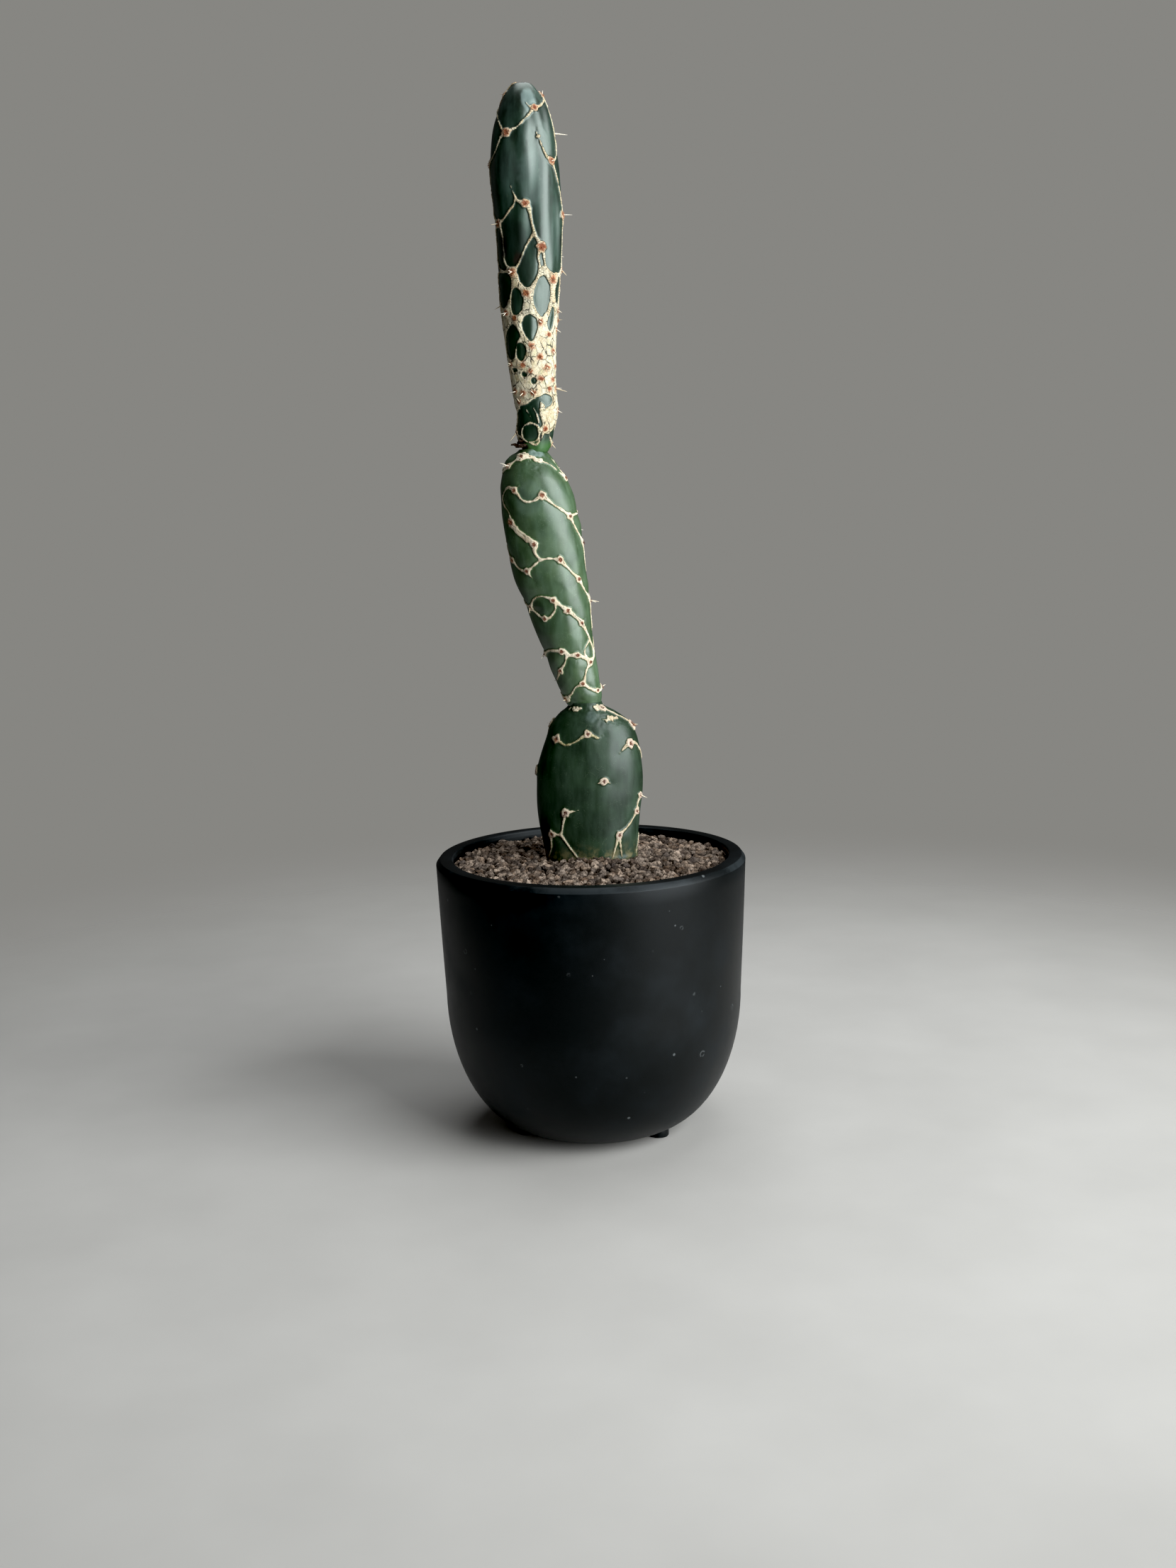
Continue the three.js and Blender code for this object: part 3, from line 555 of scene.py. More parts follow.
stone_places, stone_tints, laid = [], [], defaultdict(list)
for size, count, low, high in STONE_LAYERS:
    layer = low > 0
    for _ in range(count):
        for _ in range(TRIES):
            r = size * rng.uniform(0.8, 1.15)
            reach = (wall_inside - 0.75 * r) * math.sqrt(rng.random())
            turn = rng.uniform(0, 2 * math.pi)
            x, y = reach * math.cos(turn), reach * math.sin(turn)
            if is_free(x, y, r, layer):
                break
        else:
            continue
        laid[round(x / PATCH), round(y / PATCH), layer].append((x, y, r))
        spot = Vector((x, y, grit_level(x, y) + rng.uniform(low, high))) * MM
        squash = [r * rng.uniform(0.72, 1.28) for _ in range(3)]
        spin = [rng.uniform(0, 2 * math.pi) for _ in range(3)]
        turned = Matrix.LocRotScale(spot, Vector(spin).to_track_quat("Z", "Y"), squash)
        stone_places.append(turned @ Matrix.Rotation(spin[0], 4, "Z"))
        stone_tints.append(rng.random())
print("stones:", len(stone_places))

# %% Two piles of stones
half = len(stone_places) // 2
stone_piles = [joined_copies("grit_stones_low", stones, stone_places[:half], stone_tints),
               joined_copies("grit_stones_high", stones, stone_places[half:], stone_tints[half:])]
for pile in stone_piles:
    smooth(pile, 34)
    points = [v.co / MM for v in pile.data.vertices]
    carry(pile, "lift", [z - grit_level(x, y) for x, y, z in points])
    stand_for(pile, "grit")

# %% Dry scraps at the foot of the upper pad
SCRAPS = [[-22.9, 0.5, 266.6], [-24.2, 0.3, 265.6], [-25.2, 0.2, 265.9], [-23.4, -1, 264.9],
          [-22.4, -2.4, 265.2], [-21.6, -3.4, 265.4], [-22.2, -1.8, 267]]
SCRAP_SIZE = [1, 0.3, 0.7]

rng = random.Random(8)
places = []
for place in SCRAPS:
    tilt = Vector([rng.uniform(-1, 1) for _ in range(3)]).to_track_quat("Z", "Y")
    places.append(Matrix.LocRotScale(Vector(place) * MM, tilt, SCRAP_SIZE))
scraps = joined_copies("dry_scraps", stones, places, [rng.random() for _ in places])
stand_for(scraps, "upper_pad")
for model in stones:
    bpy.data.objects.remove(model)

# %% [markdown]
# Each pad is an oval column that leans. Its stations are the same measured cross-sections as
# in the frame: height, left edge, right edge and half depth, in millimetres. Spots where bristles
# grow have a name, height, degrees round from the front towards the right, and radius. A line of
# the raised cork net has a width, then spots by name and points by height and degrees. Patches,
# windows and marks are ovals: height, degrees, half height, half width, and a mark's strength.
# Spines have a spot, two slopes and a length, and a spot that is named as bald has none.

# %% Reading a table of measures
WHOLE_ROWS = ["lines", "corky", "cells"]


def read_item(word):
    """A name, a number, or several joined by commas as a list."""
    parts = [part if part.isalpha() else float(part) for part in word.split(",")]
    return parts if len(parts) > 1 else parts[0]


def read_pad(text, **numbers):
    """A pad's measures from its table. A heading starts each part, and a row that starts with a
    space goes on from the one above."""
    pad = defaultdict(list, numbers)
    for row in text.replace("\n ", " ").split("\n"):
        if row.endswith(":"):
            part = row[:-1]
        elif row:
            items = [read_item(word) for word in row.split()]
            pad[part] += [items] if part in WHOLE_ROWS else items
    return pad


print("an item:", read_item("a,166,50,1.5"))

# %% Measures of the lower pad
PLANT_Y = 2
LOWER_PAD = read_pad("""
stations:
80,-13,14,8 92,-15.7,17,9.8 105,-16.8,18.3,10.7 114,-18.6,18.8,11.3 123,-19.9,19.4,12
134,-20.3,20.7,12.5 145,-19.2,20.7,12.3 154,-16.4,19.1,11.2 160,-13.8,16.3,9.6 164,-10.8,11.4,8
166.4,-8,6.8,7 168.3,-6.9,5.6,6.7
spots:
a,166,50,1.5 b,159,84,1.9 c,155,-50,1.6 d,157,-5,1.4 e,152.5,54,1.5 f,160,-95,1.7 g,142,-88,1.7
h,139,15,1.4 i,127,-27,1.5 j,118,-50,1.4 k,132,72,1.3 l,126,66,1.4 m,117.5,36,1.4 n,160,145,1.4
o,157,-145,1.4 p,149,178,1.5 q,145,122,1.4 r,139,-128,1.4 s,131,148,1.4 t,127,-165,1.4 u,118,118,1.3
v,115,-112,1.3
lines:
1.5 a 163.8,66 b
1.4 155,-64 c 153,-34 154.3,-20 d 155.6,8 156.6,16
1.6 149,34 151.6,44 e 152.6,66 149,84 145,96
1.4 138,7 h 138,23
1.2 i 128,-12
1.4 i 122.5,-31 118.2,-36 j 112,-57 107,-74
1.7 118.2,-36 113,-26 107,-14
1.4 k 129,67 l 121,52 m 113,31 107,25
1.2 m 107,41
1.3 117,88 107,72
1.4 f 161,-120 o 155,-162 p 152,160 n 159,118 b
1.3 p 141,-165 t 131,168 s 139,132 q
1.3 f 150,-108 r 131,-142 t
1.5 s 124,134 u 112,122 107,126
1.5 t 118,-150 v 107,-104
patches:
162.4,40,0.9,2.6 166.4,-34,0.7,2.2 166.4,44,1.3,2.2
marks:
163.4,6,3.4,2.8,0.22 122,4,9,12,-0.18
bald:
c d e h i j m
""", node="lower_pad", sides=36, seed=11, net_from=108.2, ribs=0.1, swell=[0.42, 2.6], ring=0.8,
                     ragged=1.7, beads=0.35, olive=[1], tuft_size=0.6)
print("lines on the lower pad:", len(LOWER_PAD["lines"]))

# %% Measures of the middle pad
MIDDLE_PAD = read_pad("""
stations:
165.2,-6.4,4.6,4.8 166.8,-7.7,5.8,5.6 168.4,-8.7,5.7,5.8 172,-10.3,6.1,7.1 179,-13,4.9,7.9 190,-17,3.5,9
203,-21.7,2.5,10.2 216,-26.6,1.3,11.2 229,-29.5,0.1,11.8 242,-30.7,-1.9,12 251,-30.8,-4.7,11.2
257.5,-30,-8.2,9.4 261.5,-27.4,-11.2,7.4 264,-23.2,-13.6,4.8
spots:
a,249,-36,1.2 b,247,9,1.3 c,239,50,1.2 d,229,80,1.1 e,237,-50,1.5 f,229,-15,1.3 g,223,20,1.3
h,215.5,50,1.2 i,219,-36,1.2 j,223,-65,1.1 k,258,-52,1.1 l,261.3,-22,1.1 m,253,75,1.2 n,205,-58,1.1
o,208,-5,1.1 p,201,-31,1.1 q,204,16,1.2 r,199,40,1.1 s,184,48,1.1 t,187,-84,1.1 u,188.5,-16,1.2
v,187,17,1.2 w,181,-36,1.1 x,176,12,1.1 y,173,52,1 z,174,92,1.1 A,207,84,1.1 B,169.6,-58,1.2
C,256,128,1.1 D,254,-130,1.1 E,245,165,1.2 F,239,-125,1.2 G,234,124,1.1 H,227,-168,1.2 I,217,132,1.1
J,212,-122,1.1 K,207,176,1.1 L,196,128,1.1 M,192,-140,1.1 N,184,168,1.1 O,177,-130,1.1
lines:
1.4 255,-84 k 260,-36 l
2.8 l 261.4,4 260.6,17 259.8,28
1 259.8,28 258,52 m
0.8 262.6,62 259.5,80 m
1.5 243.5,-68 246,-74 250,-54 a 245.4,-24 244.8,-8 b
1 a 251,-25
1.6 b 243.5,25 c 235,60 d 224,90 217,98
1 243,-66 240.4,-54 e
2 e 235.4,-47 231.8,-31 f 226,-16 223,-10
1.4 e 234.6,-38 230.6,-19 f
1.2 235.2,-40 233.4,-42 230.4,-26
1.2 223,-10 223.6,5 g
1.6 g 219,35 h 212,62 A 201,94 195,86
1.3 223,-10 221,-22 i 220,-54 j 227,-88
1 i 215.6,-29
1.2 n 208.2,-42 209.4,-24 o 204.8,-5 202,-17 p 202.4,-44 n
1.5 n 206,-75 208,-98
1.9 o 206.4,4 q 201.6,29 r 193,60 187,72 s
1.2 192,56 188,37 s
1.7 t 188.6,-48 u 187,0 v 186,32 s
1.2 187.2,-6 184,-18 w 176,-78
1.2 s 181,32 x 174.6,-10 172,-28 B
1.4 x 173.6,34 y 173,74 z
1.3 m 256,100 C 250,148 E 252,-158 D 256,-106 k
1.3 C 243,112 c
1.3 D 246,-134 F 236,-104 227,-88
1.4 E 238,150 G 231,102 d
1.4 F 233,-150 H 229,152 G
1.3 G 225,124 I 211,108 A
1.4 H 218,-148 J 208,-98
1.3 H 217,-174 K 212,156 I
1.3 I 206,136 L 193,104 187,72
1.4 J 201,-138 M 188,-110 t
1.3 K 194,178 N 190,150 L
1.2 M 185,-160 N 177,130 z
1.2 M 184,-132 O 172,-90 B
patches:
169.4,-58,1.2,1.8 262,-20,1.2,2.6 260.4,22,0.9,2.4
marks:
262.8,24,1.8,4.6,0.5 246,-12,9,7,0.2 227,4,11,6,0.16 206,8,9,5,0.05 205,-40,4,4,-0.3 214,-66,18,5,-0.2
190,-56,12,5,-0.22
spines:
k,-0.7,0.1,3 k,-0.5,-0.6,2
bald:
a b c e f g h i l m o p q r s u v w x y
""", node="middle_pad", sides=34, seed=12, net_from=0, ribs=0.12, swell=[1, 3.8], ring=0.45,
                      ragged=1.9, beads=0.15, tuft_size=0.6)
print("lines on the middle pad:", len(MIDDLE_PAD["lines"]))

# %% [markdown]
# Round the waist of the upper pad the net has closed into a broad band of cork. There it is the
# bare green cells that are drawn, as outlines through a few points each, and cut out of the band.

# %% Measures of the upper pad
UPPER_PAD = read_pad("""
stations:
262.6,-21.4,-13,4.4 264.4,-22.4,-11.8,5.2 269,-23.8,-10.4,6.4 278,-23.6,-8.6,7.2 287,-24.9,-9,7.4
304,-27.5,-8.5,8.4 321,-28.8,-6.6,9.4 343,-29.6,-5,10.2 362,-31,-5.5,10.6 375,-30,-6.8,9.8
384,-27.6,-8.8,8.2 390,-24.8,-12,6.2 393.4,-21.8,-14.8,3.4 394.6,-18.3,-18.3,0
spots:
a,384.1,26,1.2 b,375.6,-30,1.5 c,366,-88,1.4 d,365.8,51,1.3 e,350.8,-3,1.3 f,344.8,-60,1.4
g,327.3,-32,1.4 h,335.8,23,1.6 i,324.5,49,1.4 j,319.6,-5,1.4 k,313.2,-54,1.1 l,311,-31,1.1
m,309.4,25,1.1 n,314,77,1.1 o,305.1,45,1 p,301,3,1.1 q,297.1,21,1.1 r,299.3,60,1 s,293.3,39,1.1
t,294.4,-22,1.1 u,294.9,-59,1.1 v,289.4,20,1.1 w,289.1,56,1 x,284.3,-5,1.1 y,271.2,30,1.1
z,270.2,-74,0.9 A,389.4,86,1.5 B,390,-84,1.2 C,347.8,80,1.5 D,284.2,-34,1.1 E,292.2,-5,0.9
F,388.6,152,1.3 G,380,-150,1.3 H,377.6,122,1.3 I,362,-178,1.4 J,354,146,1.3 K,352,-134,1.4 L,340,178,1.4
M,335,128,1.4 N,333,-108,1.3 O,326,-158,1.4 P,321,150,1.3 Q,317,-112,1.2 R,311,106,1.2 S,308,-170,1.2
T,303,146,1.2 U,301,-122,1.1 V,294,168,1.1 W,292,118,1.1 X,289,-146,1.1 Y,273,138,1.2 Z,271,-138,1.2
aa,310.8,88,0.9 bb,307.2,76,0.9 cc,294.1,70,0.9 dd,285.1,-60,1 ee,285.6,42,1 ff,286,71,1 gg,277.9,78,1
hh,265.8,84,0.9 ii,281.2,-50,1 jj,328.4,86,1.1 kk,393.7,-92,1
lines:
1.3 A 387.6,72 385.5,49 384.6,35 a
1 a 384.3,16 386,7
1.1 a 383,19 381.3,11 379.6,2 377.4,-10 b
1.2 b 376.9,-40 379.1,-50 381.9,-65 384.6,-80 B
1.3 B 391.6,-87 392.8,-88 kk 393.8,-150 F
1.2 b 374,-42 369.4,-58 c
1.2 c 358.5,-87 352,-90 347.5,-78 f
1.1 f 342.4,-78 336.5,-86 330.5,-76 328.2,-60 g
1.2 f 342.5,-53 336,-51 330.8,-48 g
0.8 357.9,-25 355.2,-22 352.6,-17
1.4 e 351.4,-11 352.2,-18 350.3,-23 348.3,-32 346,-44 f
2 e 349.2,3 346,5 342.2,8 339.3,13 h
1.1 340.4,9 338.9,4 335.9,-5 332.4,-13 329.1,-22 g
1.3 h 333,17 330.5,19 327.2,21 325.8,24
1.4 h 333.2,27 329.4,31 326.5,39 i
2.8 326.8,27 324.6,17 322.4,9 j
1.4 i 325.5,62 328,80 334.7,90 341,89 C
1.3 C 350.4,84 354.5,79 359.8,69 d
1 d 367.2,41 369.8,36 372.2,32 374.2,29
1.1 d 367.3,67 371,83 377.4,91 384.6,88 A
2.6 g 323.6,-27 321.6,-17 j
1.8 g 323,-33 318.5,-41 313.8,-47 k
3.6 j 316,-5 312,-6
2.2 j 315,3 312,10
1.4 k 316,-80 321,-94 327,-84 328.2,-60
2.4 i 320,53 315,57 312,50
1.4 i 326.6,70 322,93 316,91 n
1.4 k 312,-80 309,-95
1.3 B 386,-122 G 372,-118 c
1.3 F 384,140 H 374,100 371,83
1.2 G 370,-166 I 368,150 H
1.3 I 359,168 J 352,118 C
1.3 I 357,-156 K 358,-108 c
1.3 K 345,-152 L 346,166 J
1.3 K 342,-116 N 338,-92 336.5,-86
1.3 J 344,138 M 331,104 328,80
1.4 L 332,-176 O 330,-130 N
1.4 L 330,172 P 327,138 M
1.5 P 315,130 R 316,90 n
1.5 O 320,-140 Q 316,-96 321,-94
1.5 O 316,-170 313,178 316,164 P
0.9 273.5,-17 272.5,3 269.8,13 267.1,5 266.4,-20 267.7,-41 270.3,-46 272.5,-38 273.5,-17
0.7 278.4,-33 275.2,-17
0.7 278.8,-10 276.3,0 273.4,8
1.4 270.6,13 271.2,20 y
0.9 281,-62 276.2,-74 z 268.4,-52 267.7,-41
1 269.4,52 267.4,64 hh
0.9 266.4,-20 265.4,-2 266.2,12 268.4,22 y
0.8 z 266.6,-60 265.4,-36
1.2 gg 274,92 270,110 Y
corky:
327.4,-47 329,-33 326.6,-22 323.2,-12 320,-8 320,-40
320,2 323.6,10 326.6,17 329,22 328.4,32 327.2,44 326.8,54 326.4,64 320,68 318,30
280.8,11 279,21 278.6,32 279.7,47 280.4,61 277.2,70 273.1,88 271.6,68 269.4,46 270,30 271.7,22
 274.4,15 277.2,7
cells:
350.1,-4 347,2 342.2,3 336.9,-4 330.1,-22 330.2,-35 334.9,-48 340.3,-51 345.5,-41 349.9,-19
339.1,5 336.1,14 331.8,17 325.6,13 321.6,-1 323.1,-15 326.9,-21 331.9,-16 336.7,-5
342.6,-63 340,-56 335.6,-55 331,-56 331.6,-66 337.5,-72
333.3,21 330.5,25 327.7,24 328.3,21 330.7,20
327.9,-51 326.9,-39 324.3,-35 320.3,-39 316.5,-49 314,-69 315.2,-80 319,-88 323.7,-77 326.8,-64
321.8,-26 320.1,-16 316.9,-11 313.2,-17 312,-28 313.6,-39 317.2,-40 320.5,-35
326.1,28 323.4,40 319.2,46 314,41 311.4,28 313.5,15 317.5,8 321.5,11 324.9,19
326.3,74 323,84 319.4,86 316,77 317.2,66 319.8,61 323,63
315.2,56 312.7,63 309.5,62 306.4,51 308,42 310.2,42 313.2,48
312.3,2 310.8,14 307.9,19 304.3,13 302.7,3 304.6,-9 307.8,-16 310.9,-13
309.1,-39 307.7,-29 304.6,-21 301.9,-32 297,-43 296.7,-60 299.5,-80 303.3,-75 306.7,-61
302.4,-22 301.3,-12 299,-10 296.6,-17 295.9,-26 297.4,-36 300.1,-34 301.9,-29
279.5,-55 280.4,-28 281.8,-8 282.7,7 283.9,30 282.9,47 280.9,50 279,32 280.3,18 280.6,11 278,6
 277.4,-20 277.4,-48
272.8,-17 271.7,0 269.6,7 267.6,0 267,-19 268.2,-35 270.2,-40 272.1,-33
bands:
278.6,322
patches:
374.4,29,0.9,0.8 276,128,5,4 274,-120,5,3
windows:
292.8,-48,0.8,1.2 291,-23,1,1.1 288.7,1,1.3,1.1 306,124,5.4,3.2 302,-118,5,3 308,164,5.6,3
305,-146,5.2,3 297,144,3.4,2.6 296,-166,3.6,2.8 316.5,122,4.8,3.2 316,172,5,3.4 317,-138,5,3.2
marks:
387.5,16,6,3.4,0.5 266,-72,2.6,3,-1 264.8,-50,1,2,-0.8 268,20,1.6,0.7,-0.8 338,-30,11,7,-0.4
319,-62,9,6,-0.4 303,-52,8,6,-0.4 336,-64,9,4,-0.4 327,-14,9,5,-0.35 364,-26,12,5,0.14 360,12,13,6,0.2
spines:
d,1.1,0.3,1.6 H,-0.55,-0.25,6.4 C,0,-0.05,3.6 jj,0,-0.9,2.6 bb,0,-0.5,2.1 r,0.3,-1.3,2.2
ff,0.2,-0.35,4.6 ff,0.3,-0.05,2.4 z,0,-1.15,4.4 A,0.4,1,2.2 k,-0.7,-0.2,2.2 k,0.6,-0.5,3 ii,0.5,0.8,2.6
E,0.8,0.7,2.4 gg,0.2,-0.4,1.9 hh,0,-0.6,2.2
bald:
a b e h kk
""", node="upper_pad", sides=32, seed=13, net_from=0, ribs=0.6, swell=[0.42, 2.6], ring=0.42,
                     ragged=2, beads=1, tuft_size=0.75)
PADS = [LOWER_PAD, MIDDLE_PAD, UPPER_PAD]
print("spots on the pads:", [len(pad["spots"]) for pad in PADS])

# %% [markdown]
# A pad's skin could be sculpted, but the cork net has to sit on it to a tenth of a millimetre. So
# the skin is read as a formula: a place u along the cross-sections and an angle a round them give
# a point, and the direction that points straight out of it.

# %% Skin of a pad
def lengths(rows):
    """Length of each row of an array of vectors."""
    return np.linalg.norm(rows, axis=1)


class Skin:
    """The bare skin of one pad, in millimetres."""

    def __init__(self, pad):
        self.rows = pad["stations"]
        self.last = len(self.rows) - 1
        self.steps = np.linspace(0, self.last, 3000)
        self.heights = smooth_rows(self.rows, self.steps)[:, 0]

    def section(self, u):
        z, left, right, deep = smooth_rows(self.rows, np.clip(u, 0, self.last)).T
        return (left + right) / 2, np.maximum(right - left, 0) / 2, np.maximum(deep, 0), z

    def at(self, u, a):
        middle, wide, deep, z = self.section(u)
        return np.stack([middle + wide * np.sin(a), PLANT_Y - deep * np.cos(a), z], 1)

    def u_of(self, z):
        return np.interp(z, self.heights, self.steps)

    def axes(self, u, a):
        """Unit directions up along the skin, round it, and straight out of it."""
        step = 1e-3
        low, high = np.maximum(u - step, 0), np.minimum(u + step, self.last)
        up = self.at(high, a) - self.at(low, a)
        about = np.stack([np.cos(a) * np.maximum(self.section(u)[1], 1e-3),
                          np.sin(a) * np.maximum(self.section(u)[2], 1e-3), 0 * a], 1)
        out = np.cross(about, up)
        return [v / np.maximum(lengths(v), 1e-9)[:, None] for v in (up, about, out)]

    def place(self, z, degrees):
        return [float(self.u_of(z)), math.radians(degrees)]

    def point(self, z, degrees):
        u, a = self.place(z, degrees)
        return self.at(np.array([u]), np.array([a]))[0]


print("top of the plant:", Skin(UPPER_PAD).heights[-1], "mm")

# %% [markdown]
# How deep a point lies inside the cork decides everything on the skin: where it rises, where it
# turns cream and where it cracks. A line is widest at the spots, thin between them, and runs out
# to a point where nothing stops it. Its depth is half its width less the distance to it.

# %% Lines of the net
PATH_STEPS = 12
THIN = 0.43
WIDER_AT_SPOT = 0.95
SPOT_PULL = 1.9
RUN_OUT = 3
TOUCHING = 1.2


def ease_array(value, low, high):
    """The same soft step as ease, on an array."""
    t = np.clip((value - low) / (high - low), 0, 1)
    return t * t * (3 - 2 * t)


def run_along(path):
    """Distance along a path, from its start to each of its points."""
    return np.concatenate([[0], np.cumsum(lengths(np.diff(path, axis=0)))])


def unrolled(places):
    """Places whose angles step from one to the next by less than half a turn."""
    for before, after in zip(places, places[1:]):
        after[1] -= 2 * math.pi * round((after[1] - before[1]) / (2 * math.pi))
    return places


def line_paths(pad, skin):
    """Each line of the net: its half width along a run of points, and the points."""
    spots = {name: skin.place(z, a) for name, z, a, r in pad["spots"]}
    centres = np.array([skin.point(z, a) for name, z, a, r in pad["spots"]])
    lines = []
    for width, *stops in pad["lines"]:
        places = unrolled([list(spots[s]) if isinstance(s, str) else skin.place(*s) for s in stops])
        count = PATH_STEPS * (len(places) - 1) + 1
        u, a = smooth_rows(places, np.linspace(0, len(places) - 1, count)).T
        lines.append((width, stops, skin.at(u, a)))
    for number, (width, stops, path) in enumerate(lines):
        to_spot = np.linalg.norm(path[:, None] - centres[None], axis=2).min(1)
        half = width / 2 * (THIN + WIDER_AT_SPOT * np.exp(-to_spot / SPOT_PULL))
        others = np.vstack([other for n, (_, _, other) in enumerate(lines) if n != number])
        closed = np.linalg.norm(path[0] - path[-1]) < TOUCHING
        for end in (0, -1):
            gap = lengths(others - path[end]).min()
            if not isinstance(stops[end], str) and not closed and gap > TOUCHING:
                half = half * ease_array(lengths(path - path[end]), -0.4, RUN_OUT)
        yield half, path


def beside_path(points, path):
    """Distance from each point to a path, and its nearest place as a row of the path."""
    start, step = path[:-1], np.diff(path, axis=0)
    length = np.maximum(lengths(step), 1e-9)
    off = points[:, None] - start[None]
    t = np.clip((off * step).sum(2) / length ** 2, 0, 1)
    far = np.linalg.norm(off - t[:, :, None] * step, axis=2)
    nearest = far.argmin(1)
    rows = np.arange(len(points))
    return far[rows, nearest], nearest + t[rows, nearest]


# %% Patches, windows and outlines
FIELD_REACH = 8
OUTLINE_STEPS = 6


def in_oval(points, skin, z, degrees, high, wide):
    """Depth of each point inside an oval laid on the skin."""
    centre = skin.point(z, degrees)
    rise = points[:, 2] - centre[2]
    side = np.sqrt(np.maximum(((points - centre) ** 2).sum(1) - rise ** 2, 0))
    return min(high, wide) * (1 - np.hypot(rise / high, side / wide))


def in_outline(points, u, a, skin, outline):
    """Depth of each point inside a smooth closed outline on the skin."""
    places = unrolled([skin.place(*stop) for stop in outline])
    ring = np.array([places[-1], *places, places[0], places[1]])
    edge = smooth_rows(ring, np.linspace(1, len(places) + 1, OUTLINE_STEPS * len(places) + 1))
    path = skin.at(*edge.T)
    depth = np.full(len(points), -float(FIELD_REACH))
    near = np.flatnonzero(((points > path.min(0) - 3) & (points < path.max(0) + 3)).all(1))
    middle = edge[:, 1].mean()
    about = (a[near] - middle + math.pi) % (2 * math.pi) - math.pi + middle
    crossed = np.zeros(len(near), bool)
    for (u0, a0), (u1, a1) in zip(edge, edge[1:]):
        between = (u0 > u[near]) != (u1 > u[near])
        at = a0 + (a1 - a0) * (u[near] - u0) / (u1 - u0 if abs(u1 - u0) > 1e-9 else 1e-9)
        crossed ^= between & (about < at)
    far = beside_path(points[near], path)[0]
    depth[near] = np.where(crossed, far, -far)
    return depth


# %% [markdown]
# Where lines meet, real cork flows together into a web. A plain maximum of the depths would leave
# sharp corners, so the depths of the lines are added as powers, which rounds the corners off.

# %% Depth inside the cork
WEB = 0.3
BROAD = 1.55
BAND_WANDER = 2.4
RAGGED = 0.9


def cloud(points, size, seed):
    """Smooth noise between -1 and 1, its lumps about size millimetres across; size may be three."""
    places = points / np.asarray(size, float) + seed
    return np.array([noise.noise(place) for place in places])


def cork_fields(pad, skin, points, u, a):
    """Depth inside the cork, how far along its line, and how olive it is, at each point."""
    web = np.full((2, len(points)), math.exp(-FIELD_REACH / WEB))
    best = np.full(len(points), -float(FIELD_REACH))
    along, olive = np.zeros(len(points)), np.zeros(len(points))
    for number, (half, path) in enumerate(line_paths(pad, skin)):
        low, high = path.min(0) - FIELD_REACH, path.max(0) + FIELD_REACH
        near = np.flatnonzero(((points > low) & (points < high)).all(1))
        if not len(near):
            continue
        far, row = beside_path(points[near], path)
        inside = np.interp(row, np.arange(len(half)), half) - far
        broad = int(pad["lines"][number][0] >= BROAD)
        web[broad, near] += np.exp(np.maximum(inside, -FIELD_REACH) / WEB)
        closer = inside > best[near]
        chosen = near[closer]
        best[chosen] = inside[closer]
        along[chosen] = np.interp(row[closer], np.arange(len(path)), run_along(path))
        olive[chosen] = number in pad["olive"]
    depth = WEB * np.log(web[1])
    ragged = RAGGED * cloud(points, 1.3, 60)
    for patch in pad["patches"]:
        depth = np.maximum(depth, in_oval(points, skin, *patch) + ragged)
    for outline in pad["corky"]:
        depth = np.maximum(depth, in_outline(points, u, a, skin, outline))
    for low, high in pad["bands"]:
        level = points[:, 2] + BAND_WANDER * cloud(points, 5, 70)
        depth = np.maximum(depth, np.minimum(level - low, high - level))
    for window in pad["windows"]:
        depth = np.minimum(depth, -in_oval(points, skin, *window))
    for outline in pad["cells"]:
        depth = np.minimum(depth, -in_outline(points, u, a, skin, outline))
    thin = np.exp(np.clip(depth, -FIELD_REACH, 20) / WEB) + web[0]
    return WEB * np.log(thin), along, olive


# %% [markdown]
# The pad itself starts as a cage drawn up ring by ring. A plain subdivision makes its squares
# about a third of a millimetre wide, and each point then moves out or in along the skin: up where
# there is cork, down in the valley beside it.

# %% Relief on the skin
CORK_RISE = 0.52
CORK_EDGE = 0.42
FELT_HEIGHT = 0.22
FELT_HOLLOW = 0.2
BUMP_HEIGHT = 0.3
BUMP_REACH = 3.5
WAVE_HEIGHT = 0.16


